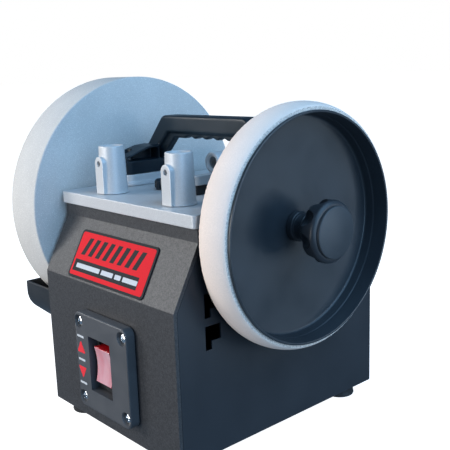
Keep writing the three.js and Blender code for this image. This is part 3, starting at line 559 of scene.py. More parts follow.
def band(points, thick, outer_radius):
    """The outline of a sheet bent along an open line."""
    outer = [(*point, outer_radius) for point in points]
    inner = [(*point, max(outer_radius - abs(thick), 0.3)) for point in offset_line(points, thick)]
    for line in (outer, inner):
        line[0] = (*line[0][:2], 0)
        line[-1] = (*line[-1][:2], 0)
    return rounded(outer + inner[::-1])


# ---- Screws ----

SCREW_TURNS = {"up": 0, "front": 90, "rear": -90, "down": 180}  # degrees about X
SMALL_PAN = (3.6, 2.2, 1.6)  # head's radius and height, shank's radius


def cross_screw(name, place, facing, head_r, head_h, shank_r, shank, material):
    """A pan-head screw with a cross recess. Its head sits on the given place."""
    brim = 0.35  # share of the head's height below its dome
    turns = [math.radians(15 * step) for step in range(7)]
    dome = [(head_r * math.cos(turn), head_h * (brim + (1 - brim) * math.sin(turn))) for turn in turns]
    profile = [(0, -shank), (shank_r, -shank), (shank_r, 0), (head_r, 0), *dome[:-1], (0, head_h)]
    made = lathe(name, profile, material, (0, 0, 0), "Z", 40)
    arm, width = head_r * 0.62, head_r * 0.13
    deep = (head_h * 0.3, head_h + 1)
    bars = [block("cutter", (-x, x), (-y, y), deep) for x, y in ((arm, width), (width, arm))]
    carve(made, bars)
    turn = Matrix.Rotation(math.radians(SCREW_TURNS[facing]), 4, "X")
    made.data.transform(TO_ROW @ Matrix.Translation(place) @ turn @ TO_ROW.inverted())
    soften(made, 0.12, 2, 40)
    return made


# ---- Housing ----

SHEET = 1.6
FOLD = 3.4  # depth of the sheet's folded side edges
BEND_R = 2.2
PANEL_FOOT, PANEL_TOP = span("front_panel", 2)
FRONT_Y = span("front_panel", 1)[0]
HALF_WIDTH = span("front_panel", 0)[1]
STRIP_Y = -94.6  # the short upright strip above the slope
SLOPE_TOP = AXLE_Z - 0.8
SLOPE_BOTTOM = AXLE_Z - 51.9
FRONT_LINE = ((STRIP_Y, PANEL_TOP), (STRIP_Y, SLOPE_TOP), (FRONT_Y, SLOPE_BOTTOM), (FRONT_Y, PANEL_FOOT))

WINDOW_GAP = 1.3  # between the switch's body and the edge of the bezel's window
WINDOW_X, WINDOW_Z = (grown(span("switch_body", axis), WINDOW_GAP) for axis in (0, 2))
WINDOW_LIP = 0.9  # how far the sheet shows inside the bezel's window
VENT_X, VENT_Z = (-60, 10), range(100, 160, 12)
VENT_LONG, VENT_HIGH = 50, 5
REAR_SCREW_Z = (24, 110, 194)


def front_panel():
    made = sweep("front_sheet", band(FRONT_LINE, SHEET, BEND_R), (-HALF_WIDTH, HALF_WIDTH), "X", DARK_PAINT)
    fold = band(FRONT_LINE, FOLD, BEND_R)
    edges = [cutter(fold, (side * HALF_WIDTH, side * (HALF_WIDTH - SHEET)), "X") for side in (-1, 1)]
    carve(made, edges, "UNION")
    x, z = (grown(window, -WINDOW_LIP) for window in (WINDOW_X, WINDOW_Z))
    carve(made, [block("cutter", x, (FRONT_Y - 5, FRONT_Y + 5), z)])
    stands_for(soften(made, 0.4, 2, 45), "front_panel")


def rear_panel():
    x, y, z = spans("rear_panel")
    made = block("rear_sheet", x, y, z, DARK_PAINT)
    through = grown(y, 3)
    vents = [
        cutter(rectangle((left, left + VENT_LONG), (low, low + VENT_HIGH), 2.4), through, "Y")
        for left in VENT_X
        for low in VENT_Z
    ]
    gland_x, _, gland_z = middle("cord_gland")
    vents.append(cutter(circle(gland_x, gland_z, 9), through, "Y"))
    stands_for(soften(carve(made, vents), 0.3, 2), "rear_panel")
    for side in (-1, 1):
        for height in REAR_SCREW_Z:
            place = (side * (HALF_WIDTH - 8), y[1], height)
            screw = cross_screw(f"rear_screw_{height}_{side + 2}", place, "rear", *SMALL_PAN, 2, CHROME)
            belongs(screw, "housing")


def foot(node):
    x, y, _ = middle(node)
    height = span(node, 2)[1]
    wide = half_size(node)
    profile = (
        (0, 3), (5, 3), (5.4, 0.4), (5.8, 0), (wide - 1.6, 0), (wide - 0.5, 0.4), (wide - 0.1, 1.4),
        (wide - 0.9, height * 0.5), (wide - 1.1, height * 0.5 + 0.8), (wide - 2, height), (0, height),
    )
    stands_for(lathe(node + "_rubber", profile, RUBBER, (x, y, 0), "Z", 64), node)
    screw = cross_screw(node + "_screw", (x, y, 3), "down", *SMALL_PAN, 1, STEEL)
    belongs(screw, "housing")


def build_housing():
    front_panel()
    rear_panel()
    for side in SIDES:
        stands_for(detailed(f"{side}_side_panel", 0.35, SIDE_PAINT), f"{side}_side_panel")
    stands_for(detailed("base_plate", 0.3, SIDE_PAINT), "base_plate")
    for end in ENDS:
        for side in SIDES:
            foot(f"foot_{end}_{side}")


# ---- Cast top ----

TOP_WALL = 4
SLEEVE_BORE_R = 6.1
LUG_HALF = 6.3
LUG_TOP = AXLE_Z + 56.6


def top_plate():
    x, y, z = spans("top_plate")
    made = sweep("top_casting", rectangle(x, y, 4, 10), z, "Z", SILVER)
    inside = [grown(ends, -TOP_WALL) for ends in (x, y)]
    hollow = cutter(rectangle(*inside, 3), (z[0] - 1, z[1] - TOP_WALL), "Z")
    belt_slot = cutter(rectangle(grown(span("driven_pulley", 0), 4), (-32, 32), 3), (z[0], z[1] + 1), "Z")
    stands_for(soften(carve(made, [hollow, belt_slot]), 0.9, 4), "top_plate")


def cast_sleeve(node, tube, web, voxel, holes):
    """Joins a web to a turned tube, melts the two into one casting, then bores it."""
    carve(tube, [web], "UNION")
    fuse(tube, voxel, 5)
    carve(tube, holes)
    smooth(tube, 35)
    stands_for(tube, node)


def upright_sleeve(node):
    """A tapered tube with a clamp lug on its front."""
    x = middle(node)[0]
    low, high = span(node, 2)
    front, back = span(node, 1)
    radius = half_size(node)
    y = back - radius
    profile = (
        (0, low), (radius + 1, low), (radius + 0.2, low + 1.2), (radius - 0.1, low + 3),
        (radius - 1.5, high - 0.5), (radius - 2, high), (0, high),
    )
    tube = lathe(node + "_casting", profile, SILVER, (x, y, 0), "Z", 72)
    left, right = x - LUG_HALF, x + LUG_HALF
    lug = rounded(((left, low, 0), (right, low, 0), (right, LUG_TOP, 6.25), (left, LUG_TOP, 6.25)), 14)
    bore = (
        (0, low - 1), (SLEEVE_BORE_R, low - 1), (SLEEVE_BORE_R, high - 4), (9.9, high + 0.3), (0, high + 0.3),
    )
    screw_hole = ((0, -1), (2.9, -1), (2.5, 0.5), (2.5, y - front), (0, y - front))
    holes = [
        round_cutter(bore, (x, y, 0)),
        round_cutter(screw_hole, (x, front, LUG_TOP - LUG_HALF), "Y", 32),
    ]
    cast_sleeve(node, tube, cutter(lug, (front, y), "Y"), 0.42, holes)


def level_sleeve(node):
    """A level tube on a web."""
    x = middle(node)[0]
    front, back = span(node, 1)
    low, high = span(node, 2)
    radius = half_size(node)
    z = high - radius
    foot_half, web_half = 11, 8
    profile = (
        (0, front), (radius - 0.9, front), (radius, front + 0.9),
        (radius, back - 0.9), (radius - 0.9, back), (0, back),
    )
    tube = lathe(node + "_casting", profile, SILVER, (x, 0, z), "Y", 72)
    web = (
        (x - foot_half, low, 0), (x + foot_half, low, 0), (x + web_half, low + 3, 3),
        (x + web_half, z, 0), (x - web_half, z, 0), (x - web_half, low + 3, 3),
    )
    bore = (
        (0, front - 1), (8.8, front - 1), (8.2, front), (SLEEVE_BORE_R, front + 2.6),
        (SLEEVE_BORE_R, back - 1.4), (7.4, back + 1), (0, back + 1),
    )
    screw_hole = ((0, z), (2.5, z), (2.5, high + 1), (0, high + 1))
    holes = [
        round_cutter(bore, (x, 0, z), "Y"),
        round_cutter(screw_hole, (x, (front + back) / 2, 0), "Z", 32),
    ]
    cast_sleeve(node, tube, cutter(rounded(web), (front + 3, back - 3), "Y"), 0.7, holes)


def handle_riser(node):
    """A rounded post on a low skirt, cast in one."""
    x, y, z = spans(node)
    skirt_out, skirt_top, corner = 3, z[0] + 3.5, 10
    made = sweep(node + "_casting", rectangle(x, y, corner + skirt_out, 10), (z[0], skirt_top), "Z", SILVER)
    post = [grown(ends, -skirt_out) for ends in (x, y)]
    carve(made, [cutter(rectangle(*post, corner, 10), z, "Z")], "UNION")
    stands_for(soften(made, 1.0, 3), node)


def build_top():
    top_plate()
    for side in SIDES:
        upright_sleeve(f"upright_sleeve_{side}")
        level_sleeve(f"level_sleeve_{side}")
        handle_riser(f"handle_riser_{side}")


# ---- Carrying handle ----

LEG_OUT = 92  # outer face of the legs and feet, from the handle's middle
PAD_IN = 66
PAD_Y = (-45, 32)
PAD_TOP = AXLE_Z + 46
ARCH_LOW = PAD_TOP - 3  # the legs run this far down into the feet
SHELL_Y = (-5, 15)
HANDLE_SCREWS = [f"handle_screw_{end}_{side}" for side in SIDES for end in ENDS]
SADDLE = ((-46, 242.5), (-40, 246.5), (-29, 250.8), (-17, 254.2), (-4, 255))  # top of the foot in (y, z)


def arch(outer, inner_x, inner_top, radius):
    """A symmetric arch in (x, z) whose legs lean in at 45 degrees along their inner edges."""
    inner = ((-inner_x, inner_top, radius), (-inner_x - (inner_top - ARCH_LOW), ARCH_LOW, 0))
    left = list(outer) + [(-x, z, r) for x, z, r in outer[::-1]]
    right = [(-x, z, r) for x, z, r in inner[::-1]] + list(inner)
    return rounded(left + right, 8)


def handle_shell():
    top = span("carry_handle", 2)[1]
    outer = ((-LEG_OUT, ARCH_LOW, 0), (-LEG_OUT, 250, 6), (-87.5, 252.8, 8), (-59.5, top, 9))
    shell = sweep("handle_moulding", arch(outer, 52.5, AXLE_Z + 72.5, 5), SHELL_Y, "Y", HANDLE)
    return soften(shell, 2.4, 5, 50)


def finger_grip():
    """The lining of the opening, with a scallop for each finger."""
    bottom, shoulder, shoulder_x = AXLE_Z + 67, AXLE_Z + 74, 51
    outer = ((-shoulder_x - (shoulder - ARCH_LOW), ARCH_LOW, 0), (-shoulder_x, shoulder, 4))
    grip = cutter(arch(outer, 47.6, bottom, 4), (0, 8.5), "Y")
    radius, deep = 12, 2
    centre_z = bottom - radius + deep
    scallops = [cutter(circle(x, centre_z, radius), (-1, 9.5), "Y") for x in (-24, -8, 8, 24)]
    return soften(carve(grip, scallops), 1.6, 3, 50)


def handle_foot(side):
    """A pad, and ahead of the leg a saddle with a recess on its inner side."""
    x = sorted((side * PAD_IN, side * LEG_OUT))
    recess_x = sorted((side * 80, side * (PAD_IN - 1)))
    low, top = span("carry_handle", 2)[0], SADDLE[-1][1]
    behind, wall = PAD_Y[1] + 1, 2.2
    made = cutter(rectangle(x, PAD_Y, 10, 10), (low, top), "Z")
    above = [*SADDLE, (SADDLE[-1][0], PAD_TOP), (behind, PAD_TOP), (behind, top + 1), (SADDLE[0][0], top + 1)]
    roof = [(y, z - wall) for y, z in SADDLE[1:-1]]
    recess = [(SHELL_Y[0], PAD_TOP), (SADDLE[1][0] - 3, PAD_TOP), *roof, (SHELL_Y[0], top - wall)]
    carve(made, [cutter(above, grown(x, 1), "X"), cutter(recess, recess_x, "X")])
    return soften(made, 0.8, 3, 50)


def carry_handle():
    made = handle_shell()
    carve(made, [finger_grip(), handle_foot(-1), handle_foot(1)], "UNION")
    fuse(made, 0.7, 3, 0.5)
    foot_z, top = span("carry_handle", 2)
    holes = []
    for node in HANDLE_SCREWS:
        x, y, _ = middle(node)
        holes.append(cutter(circle(x, y, 2.5, 24), (foot_z - 1, PAD_TOP + 1), "Z"))
        holes.append(cutter(circle(x, y, 5.5, 32), (PAD_TOP, top), "Z"))
    carve(made, holes)
    smooth(made, 40)
    stands_for(made, "carry_handle")


def build_handle():
    carry_handle()
    shank = 8
    for node in HANDLE_SCREWS:
        x, y, _ = middle(node)
        low, high = span(node, 2)
        head = (half_size(node), high - low - shank)
        screw = cross_screw(node + "_pan", (x, y, low + shank), "up", *head, 2.2, shank, STEEL)
        stands_for(screw, node)


# ---- Belt cover ----


def cover_box():
    """A grey lid with a sloping back edge on a narrower dark waist, hollow over the pulley."""
    x, y, z = spans("belt_cover")
    step, low_top, room_top, inset, wall = AXLE_Z + 31, AXLE_Z + 33.5, AXLE_Z + 33.6, 3, 2.5
    waist_x, waist_y = grown(x, -inset), grown(y, -inset)
    room = (grown(span("driven_pulley", 0), 1.5), grown(waist_y, -wall))
    body = sweep("cover_body", rectangle(x, y, 6, 10), (step, z[1]), "Z", COVER)
    above = ((x[0] - 1, low_top), (x[1], z[1]), (x[0] - 1, z[1] + 1))
    carve(body, [cutter(above, grown(y, 1), "Y")])
    soften(body, 1.2, 4)
    carve(body, [block("cutter", *room, (step - 1, room_top))])
    stands_for(body, "belt_cover")
    waist = sweep("cover_waist", rectangle(waist_x, waist_y, 3, 8), (z[0], step), "Z", DEEP_BLACK)
    carve(waist, [block("cutter", *room, (z[0] - 1, step + 1))])
    belongs(waist, "housing")


def cover_knob():
    x, y, _ = middle("cover_knob")
    low, high = span("cover_knob", 2)
    wide = half_size("cover_knob")

    def knurl(r, along, angle):
        ridge = 0.35 * math.cos(18 * angle) if low + 1.5 < along < high - 1 and r > wide - 1 else 0
        return r + ridge

    profile = (
        (0, low), (wide - 1, low), (wide - 1, low + 1.4), (wide - 0.4, low + 2),
        (wide - 0.4, high - 2), (wide - 1.3, high - 0.6), (wide - 2, high), (0, high),
    )
    stands_for(lathe("cover_knob_grip", profile, HANDLE, (x, y, 0), "Z", 144, knurl), "cover_knob")


def build_cover():
    cover_box()
    cover_knob()


# ---- Badge ----

FALL = Vector((FRONT_Y - STRIP_Y, SLOPE_BOTTOM - SLOPE_TOP))
SLOPE_TILT = math.atan2(-FALL[1], -FALL[0])
BADGE_PLACE = Matrix.Translation((0, STRIP_Y, SLOPE_TOP)) @ Matrix.Rotation(SLOPE_TILT, 4, "X")
BADGE_X = (-60, 57)
BADGE_Y = (-56.1, -10.6)  # up the slope, measured from its top edge
BADGE_RIM = 2.3
STRIPE = {"count": 8, "first": 10, "step": 11.6, "width": 6.2, "lean": 6.5}
STRIP_X, STRIP_RISE = (BADGE_X[0] + 5, BADGE_X[1] - 12), (BADGE_Y[0] + 6.2, BADGE_Y[0] + 17.2)
BAR_LENGTHS, BAR_GAP = (38, 18, 9, 21), 3


def on_badge(name, outline, low, high, material):
    made = sweep(name, outline, (low, high), "Z", material, BADGE_PLACE)
    return belongs(made, "housing")


def build_badge():
    """A dark plate with a red field, slanted stripes and a dark strip with plain white bars."""
    outline = rectangle(BADGE_X, BADGE_Y, 4, 10)
    plate = sweep("badge_backing", outline, (0.05, 1.2), "Z", BADGE_BLACK, BADGE_PLACE)
    stands_for(soften(plate, 0.35, 3), "badge_plate")
    field = [grown(ends, -BADGE_RIM) for ends in (BADGE_X, BADGE_Y)]
    soften(on_badge("badge_field", rectangle(*field, 2.4, 8), 1.1, 1.32, BADGE_RED), 0.05, 1)
    low, high, lean = BADGE_Y[0] + 22, BADGE_Y[1] - 7, STRIPE["lean"]
    for stripe in range(STRIPE["count"]):
        left = BADGE_X[0] + STRIPE["first"] + STRIPE["step"] * stripe
        right = left + STRIPE["width"]
        outline = ((left, low), (right, low), (right + lean, high), (left + lean, high))
        on_badge(f"badge_stripe_{stripe + 1}", outline, 1.3, 1.42, BADGE_BLACK)
    on_badge("badge_strip", rectangle(STRIP_X, STRIP_RISE, 0.6), 1.3, 1.42, BADGE_BLACK)
    left, rise = STRIP_X[0] + 4.5, grown(STRIP_RISE, -3.4)
    for bar, length in enumerate(BAR_LENGTHS):
        on_badge(f"badge_bar_{bar + 1}", rectangle((left, left + length), rise, 0.8), 1.4, 1.5, MARK_WHITE)
        left += length + BAR_GAP


# ---- Switch ----

BEZEL_X, BEZEL_Y, BEZEL_Z = spans("switch_bezel")
BEZEL_FACE = BEZEL_Y[0] + 0.25  # leaves room for the printed marks inside the CAD box
MARK_X = WINDOW_X[0] - 12.8
BAR_Z = [AXLE_Z - below for below in (98.2, 120.3, 142.5)]


def switch_bezel():
    made = sweep("switch_frame", rectangle(BEZEL_X, BEZEL_Z, 7, 12), (BEZEL_FACE, BEZEL_Y[1]), "Y", BEZEL)
    tools = [block("cutter", WINDOW_X, (BEZEL_FACE - 1, BEZEL_Y[1] + 1), WINDOW_Z)]
    soften(made, 1.5, 5, 50)
    for number in range(1, 5):
        x, _, z = middle(f"bezel_screw_{number}")
        profile = ((0, -1), (6.6, -1), (6, 0.5), (6, 3.9), (2.3, 3.9), (2.3, 12), (0, 12))
        tools.append(round_cutter(profile, (x, BEZEL_FACE, z), "Y", 48))
    carve(made, tools)
    smooth(made, 35)
    stands_for(made, "switch_bezel")


def bezel_screw(node):
    x, _, z = middle(node)
    low, high = span(node, 1)
    shank = 5
    seat = high - shank
    screw = cross_screw(node + "_pan", (x, seat, z), "front", half_size(node), seat - low, 1.9, shank, CHROME)
    stands_for(screw, node)


def bezel_marks():
    """Generic switch marks: up and down triangles between plain bars."""

    def mark(name, outline, material):
        face = (BEZEL_FACE - 0.12, BEZEL_FACE + 0.1)
        belongs(sweep(name, outline, face, "Y", material), "housing")

    for index, z in enumerate(BAR_Z):
        outline = rectangle((MARK_X - 5.4, MARK_X + 5.4), (z - 1, z + 1), 0.4)
        mark(f"mark_bar_{index + 1}", outline, MARK_WHITE)
    for name, below_tip, below_base in (("up", 102.2, 113.6), ("down", 138, 127)):
        tip, base = AXLE_Z - below_tip, AXLE_Z - below_base
        corners = ((MARK_X - 6.6, base, 0.8), (MARK_X + 6.6, base, 0.8), (MARK_X, tip, 0.8))
        mark(f"mark_{name}", rounded(corners, 4), MARK_RED)


def rocker():
    x, y, z = spans("rocker")
    mid, half = (z[0] + z[1]) / 2, half_size("rocker", 2)
    dish, steps, shoulder, taper = 2.5, 6, y[1] - 3, 8
    chord = [
        (y[0] + dish * (1 - (step / steps) ** 2), mid - half * step / steps, 0)
        for step in range(1 - steps, steps)
    ]
    face = [(y[0] + 0.1, mid + half, 0.9), *chord, (y[0] + 0.1, mid - half, 0.9)]
    tail = [(shoulder, mid - half, 1), (y[1], mid - half + taper, 1)]
    tail += [(y[1], mid + half - taper, 1), (shoulder, mid + half, 1)]
    made = sweep("rocker_lens", rounded(face + tail, 5), x, "X", RED)
    pin_y, pin_z = middle("rocker_pin")[1:]
    carve(made, [cutter(circle(pin_y, pin_z, 1.8, 24), grown(x, 1), "X")])
    stands_for(soften(made, 0.5, 3, 40), "rocker", "power_rocker")


def build_switch():
    switch_bezel()
    bezel_marks()
    for number in range(1, 5):
        bezel_screw(f"bezel_screw_{number}")
    stands_for(detailed("switch_body", 0.5, DEEP_BLACK), "switch_body")
    rocker()


# ---- Shaft, stone and honing wheel ----

BORE_R = 6.3  # every wheel's bore on the shaft
SPACER_R = 9


def on_axle(node, name, profile, material, body="axle", steps=96, radius=None):
    return stands_for(lathe(name, profile, material, steps=steps, radius=radius), node, body)


def chamfered(inner, outer, left, right, edge):
    """A ring's profile with rounded outer edges."""
    steps = 4
    turns = [math.pi / 2 * step / steps for step in range(steps + 1)]
    first = [(outer - edge + edge * math.sin(t), left + edge - edge * math.cos(t)) for t in turns]
    last = [(outer - edge + edge * math.cos(t), right - edge + edge * math.sin(t)) for t in turns]
    return [(inner, left), *first, *last, (inner, right)]


def threaded_shaft():
    """A ground shaft with a chamfered end and a thread where the stone's nut sits."""
    left, right = span("main_shaft", 0)
    radius = half_size("main_shaft", 2)
    pitch, depth, turns, point = 1.75, 0.5, 8, 1.2
    thread = []
    for turn in range(turns):
        start = left + 1.6 + turn * pitch
        thread += [(radius - depth, start), (radius, start + pitch * 0.45), (radius, start + pitch * 0.6)]
    profile = [(0, left), (radius - point, left), (radius - depth, left + point), *thread]
    profile += [(radius, left + 2 + turns * pitch), (radius, right - 1), (radius - 1, right), (0, right)]
    on_axle("main_shaft", "shaft_bar", profile, STEEL)


def stone_nut():
    left, right = span("stone_nut", 0)
    outer, cone, clear = 11, 1.3, 0.4
    made = sweep("stone_nut_hex", circle(0, AXLE_Z, outer, 6), (left, right), "X", STEEL)
    barrel = (
        (BORE_R, left), (outer - cone, left), (outer + clear, left + cone),
        (outer + clear, right - cone), (outer - cone, right), (BORE_R, right),
    )
    carve(made, [round_cutter(barrel, (0, 0, AXLE_Z), "X", 96)], "INTERSECT")
    stands_for(soften(made, 0.2, 2, 25), "stone_nut", "axle")


def honing_disc():
    """The moulded wheel body: a lip ahead of the leather, a deep cup, a flat floor and a hub."""
    back, seat_end = span("leather_band", 0)
    hub, front = span("honing_disc", 0)
    lip = half_size("honing_disc", 2)
    seat, ledge, floor, web_back = lip - 1, 123.2, 114.6, 108.2
    profile = (
        (BORE_R, hub), (16.4, hub), (17, hub + 0.6), (18.6, web_back - 0.6), (19.6, web_back),
        (89.4, web_back), (90.4, web_back - 0.6), (91.6, back + 0.4), (92.2, back), (seat - 0.4, back),
        (seat, back + 0.4), (seat, seat_end + 0.3), (lip - 0.3, seat_end + 0.3), (lip, seat_end + 0.6),
        (lip, front - 0.6), (lip - 0.2, front - 0.2), (lip - 0.6, front), (lip - 1.6, front),
        (lip - 2, front - 0.2), (lip - 2.2, front - 0.6), (lip - 2.3, ledge + 1.2), (lip - 2.5, ledge + 0.4),
        (lip - 2.9, ledge), (lip - 3.1, ledge - 0.7), (lip - 3.4, floor + 2.2), (lip - 3.8, floor + 0.9),
        (lip - 4.6, floor + 0.2), (lip - 5.7, floor), (28, floor), (BORE_R, floor),
    )
    on_axle("honing_disc", "honing_disc_moulding", profile, DISC, steps=256)


# The leather's rounded tread: how far it stands out from its edges, along its width from 0 to 1.
CROWN = (
    (0, 0.4), (0.01, 0.7), (0.03, 1.15), (0.08, 1.9), (0.156, 2.8), (0.23, 3.42), (0.319, 3.9), (0.39, 4.12),
    (0.469, 4.2), (0.55, 4.12), (0.632, 3.9), (0.71, 3.52), (0.781, 3), (0.85, 2.38), (0.913, 1.6),
    (0.955, 1), (0.983, 0.5), (1, 0),
)


def leather_band():
    left, right = span("leather_band", 0)
    inner, edge = half_size("leather_band", 2) - 7.7, half_size("leather_band", 2) - 4.2
    edge_width, depth = 0.9, 0.07

    def worn(r, along, angle):
        """The cut edges are slightly uneven, as split leather is."""
        if min(along - left, right - along) >= edge_width or r <= inner:
            return r
        waves = ((37, 0), (91, 1.3), (163, 0.7))
        return r - depth * sum(1 + math.sin(count * angle + start) for count, start in waves)

    tread = [(edge + rise, left + (right - left) * across) for across, rise in CROWN]
    profile = [(inner, left), *tread, (inner, right)]
    on_axle("leather_band", "leather_strip", profile, LEATHER, steps=720, radius=worn)


# The knob's profile as (radius, distance from its base).
KNOB_PROFILE = (
    (BORE_R, 0), (12.4, 0), (12.8, 0.4), (12.8, 4.9), (12.3, 5.5), (10.8, 5.8), (10.2, 6.6), (10.1, 11.7),
    (10.4, 12.3), (11.7, 12.5), (12.2, 13), (12.2, 14.7), (11.7, 15.3), (10.6, 15.6), (10.4, 16.2),
    (10.6, 17), (12.2, 17.3), (12.8, 17.9), (12.9, 19.7), (15, 20.9), (19, 22.5), (22.6, 24.7),
    (24.8, 27.3), (25.9, 30.5), (26, 37.3), (25.5, 39.1), (24.2, 40.5),
)
SCALLOP = {"count": 8, "along": 25.2, "out": 28.5, "size": (12.5, 8.0, 10.5), "first": 0.2}
CAP_EDGE = ((21.6, 0), (21.6, 1.7), (21.3, 2.1), (20.7, 2.35), (0, 2.4))


def knob_scallop(number, base):
    angle = 2 * math.pi / SCALLOP["count"] * number + SCALLOP["first"]
    turn = Matrix.Translation((0, 0, AXLE_Z)) @ Matrix.Rotation(angle, 4, "X")
    place = Matrix.Translation((base + SCALLOP["along"], 0, SCALLOP["out"]))
    shape = turn @ place @ Matrix.Diagonal((*SCALLOP["size"], 1))
    bm = bmesh.new()
    bmesh.ops.create_uvsphere(bm, u_segments=40, v_segments=24, radius=1, matrix=shape)
    return piece("cutter", bm, KNOB)


def honing_knob():
    """A moulded clamp knob: flanged stem, then a smooth-fronted head with eight finger scallops."""
    base = span("honing_knob", 0)[0]
    cap_back, cap_front = span("knob_cap", 0)
    face = cap_back - 0.3
    profile = [(r, base + along) for r, along in KNOB_PROFILE]
    profile += [(22.6, face), (BORE_R, face)]
    made = lathe("honing_knob_moulding", profile, KNOB, steps=192)
    carve(made, [knob_scallop(number, base) for number in range(SCALLOP["count"])])
    soften(made, 0.35, 2, 38)
    stands_for(made, "honing_knob", "clamp_knob")
    seat = cap_back - 0.1
    cap = [(0, seat), *((r, min(seat + along, cap_front)) for r, along in CAP_EDGE)]
    on_axle("knob_cap", "knob_cap_disc", cap, CAP, "clamp_knob", 128)


def steel_ring(node, name, radius, edge):
    on_axle(node, name, chamfered(BORE_R, radius, *span(node, 0), edge), STEEL)


def build_axle():
    threaded_shaft()
    for side in SIDES:
        stands_for(detailed(f"shaft_bush_{side}", 0.3, BRONZE), f"shaft_bush_{side}")
    for end, node in (("inside", "stone_flange_inner"), ("outside", "stone_flange_outer")):
        steel_ring(node, f"stone_washer_{end}", half_size(node, 2), 0.9)
    stone = chamfered(BORE_R, half_size("grinding_stone", 2), *span("grinding_stone", 0), 1.4)
    on_axle("grinding_stone", "stone_wheel", stone, STONE, steps=256)
    stone_nut()
    steel_ring("wheel_spacer", "wheel_spacer_ring", SPACER_R, 0.4)
    honing_disc()
    leather_band()
    honing_knob()


# ---- Drive, inside the housing ----

INSIDE = {
    "driven_pulley": (MOTOR_METAL, 0.3, "axle"),
    "motor_pulley": (MOTOR_METAL, 0.3, "drive_output"),
    "output_shaft": (STEEL, 0.5, "drive_output"),
    "drive_belt": (RUBBER, 0.3, "housing"),
    "gearbox": (MOTOR_METAL, 1.5, "housing"),
    "motor_case": (MOTOR_METAL, 0.5, "housing"),
    "motor_end_bell": (MOTOR_METAL, 0.8, "housing"),
    "motor_stator": (COPPER, 0.8, "housing"),
    "motor_rotor": (STEEL, 0.5, "armature"),
    "motor_bracket": (SIDE_PAINT, 0.6, "housing"),
    "run_capacitor": (HANDLE, 1.5, "housing"),
    "terminal_block": (HANDLE, 0.8, "housing"),
    "rocker_pin": (STEEL, 0.2, "housing"),
}


def build_drive():
    for node, (material, edge, body) in INSIDE.items():
        stands_for(detailed(node, edge, material, 2), node, body)


# ---- Cord gland ----


def build_gland():
    x, _, z = middle("cord_gland")
    low, high = span("cord_gland", 1)
    face = span("rear_panel", 1)[1]
    bore_r = 4
    flange = ((12.4, 0.3), (13, 0.9), (13, 2.4), (12.4, 3), (9.6, 3.3), (9.2, 3.9), (9.8, 4.3), (9.8, 5.2))
    profile = [(bore_r, low), (8.5, low), (8.5, face), *((r, face + along) for r, along in flange)]
    profile += [(8.8, high - 0.2), (5.2, high), (bore_r, high - 0.8)]
    stands_for(lathe("gland_body", profile, RUBBER, (x, 0, z), "Y", 72), "cord_gland")


# ---- Water trough ----

TROUGH_BOTTOM, TROUGH_RIM = 54, 118
TROUGH_RIGHT = -99.3  # outer face of the wall that hooks onto the housing
TROUGH_WALL = 2.5
HOOK_X = (-96.4, -94)
HOOK_FRONTS = (-90.8, 74.3)


def trough_outline(inset):
    """A half barrel in (y, z) with a level rim, this far inside the outer wall."""
    half = span("water_trough", 1)[1] - inset
    bottom, top = TROUGH_BOTTOM + inset, TROUGH_RIM + (1 if inset else 0)
    corners = ((-half, top, 0), (-half, 96, 24), (-half + 30, bottom + 16, 30), (-42, bottom, 40))
    mirrored = [(-y, z, radius) for y, z, radius in corners[::-1]]
    return rounded(list(corners) + mirrored, 10)


def build_trough():
    left = span("water_trough", 0)[0]
    made = sweep("trough_shell", trough_outline(0), (left, TROUGH_RIGHT), "X", TROUGH)
    room = grown((left, TROUGH_RIGHT), -TROUGH_WALL)
    carve(made, [cutter(trough_outline(TROUGH_WALL), room, "X")])
    soften(made, 0.9, 4, 40)
    hooks = []
    for front in HOOK_FRONTS:
        y = (front + 0.6, front + 6)
        hooks.append(block("cutter", (TROUGH_RIGHT - 1, HOOK_X[1]), y, (104.7, 110.7)))
        hooks.append(block("cutter", HOOK_X, y, (100.7, 110.7)))
    carve(made, hooks, "UNION")
    smooth(made, 35)
    stands_for(made, "water_trough", "trough")


# ---- Camera, light and floor ----


CAMERA_PLACE = (528.24, -447.22, 324.24)
CAMERA_TURN = (48.42, 11.8, -1.93)  # azimuth, elevation and roll in degrees
CAMERA_LENS_MM = 58.77


def build_camera():
    """Eye level a little above the machine, off its front right corner."""
    azimuth, elevation, roll = (math.radians(degrees) for degrees in CAMERA_TURN)
    level = Matrix.Rotation(azimuth, 4, "Z") @ Matrix.Rotation(math.pi / 2 - elevation, 4, "X")
    data = bpy.data.cameras.new("camera")
    data.lens = CAMERA_LENS_MM
    data.clip_end = 50
    camera = bpy.data.objects.new("camera", data)
    turn = level @ Matrix.Rotation(roll, 4, "Z")
    camera.matrix_world = Matrix.Translation(TO_ROW @ Vector(CAMERA_PLACE)) @ turn
    bpy.context.collection.objects.link(camera)
    bpy.context.scene.camera = camera


def softbox(name, place, size, watts, color):
    """A rectangular lamp that looks at the axle."""
    data = bpy.data.lights.new(name, "AREA")
    data.shape = "RECTANGLE"
    data.size, data.size_y = (edge * MM for edge in size)
    data.energy = watts
    data.color = color
    lamp = bpy.data.objects.new(name, data)
    aim = (Vector((0, 0, AXLE_Z)) - Vector(place)).to_track_quat("-Z", "Y").to_matrix().to_4x4()
    lamp.matrix_world = Matrix.Translation(TO_ROW @ Vector(place)) @ aim
    bpy.context.collection.objects.link(lamp)


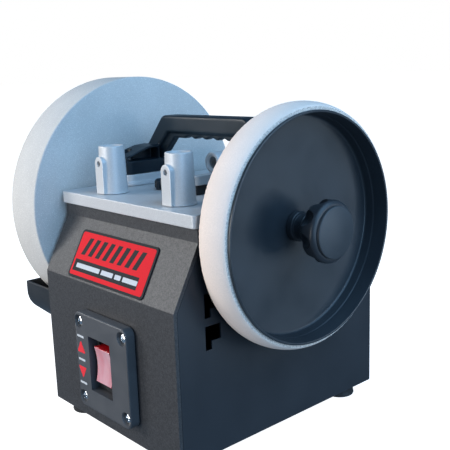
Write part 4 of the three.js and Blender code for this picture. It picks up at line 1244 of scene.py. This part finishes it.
def studio_world():
    """A white backdrop for the eye, and a dim bluish room for the light on the object."""
    world = bpy.data.worlds.new("studio")
    world.use_nodes = True
    tree = world.node_tree
    room = tree.nodes["Background"]
    room.inputs["Color"].default_value = (0.45, 0.69, 1.0, 1)
    room.inputs["Strength"].default_value = 0.25
    backdrop = tree.nodes.new("ShaderNodeBackground")
    backdrop.inputs["Color"].default_value = (1, 1, 1, 1)
    rays = tree.nodes.new("ShaderNodeLightPath")
    chosen = tree.nodes.new("ShaderNodeMixShader")
    tree.links.new(rays.outputs["Is Camera Ray"], chosen.inputs["Fac"])
    tree.links.new(room.outputs["Background"], chosen.inputs[1])
    tree.links.new(backdrop.outputs["Background"], chosen.inputs[2])
    tree.links.new(chosen.outputs["Shader"], tree.nodes["World Output"].inputs["Surface"])
    bpy.context.scene.world = world


def studio_floor():
    """A white light table, which keeps the background pale without lighting the object from below."""
    glow = {"Emission_Strength": 0.97, "Emission_Color": (1, 1, 1, 1)}
    shader = Shader("studio_floor", (0.8, 0.8, 0.8), 0.7, Specular_IOR_Level=0.0, **glow)
    shader.paint(shader.blend(shader.noise(400.0, 2.0), (0.79, 0.79, 0.79), (0.81, 0.81, 0.81)))
    half = 30000
    floor = sweep("floor", rectangle((-half, half), (-half, half), 0), (-3, -0.2), "Z", shader.material)
    floor.visible_diffuse = False
    floor.visible_glossy = False


def build_studio():
    softbox("key", (-850, -900, 640), (420, 420), 8.5, (1.0, 0.985, 0.96))
    softbox("blue_sky", (980, 120, 1150), (1500, 1500), 19, (0.33, 0.63, 1.0))
    softbox("low_side", (1110, 500, 165), (500, 450), 4, (0.7, 0.85, 1.0))
    softbox("side_fill", (1500, -450, 280), (600, 600), 5, (0.38, 0.66, 1.0))
    softbox("front_fill", (-250, -1500, 250), (700, 700), 13, (1.0, 0.99, 0.97))
    studio_world()
    studio_floor()
    bpy.context.scene.view_settings.view_transform = "Standard"


build_camera()
build_housing()
build_top()
build_handle()
build_cover()
build_badge()
build_switch()
build_axle()
build_drive()
build_gland()
build_trough()
build_studio()

bpy.context.view_layer.update()
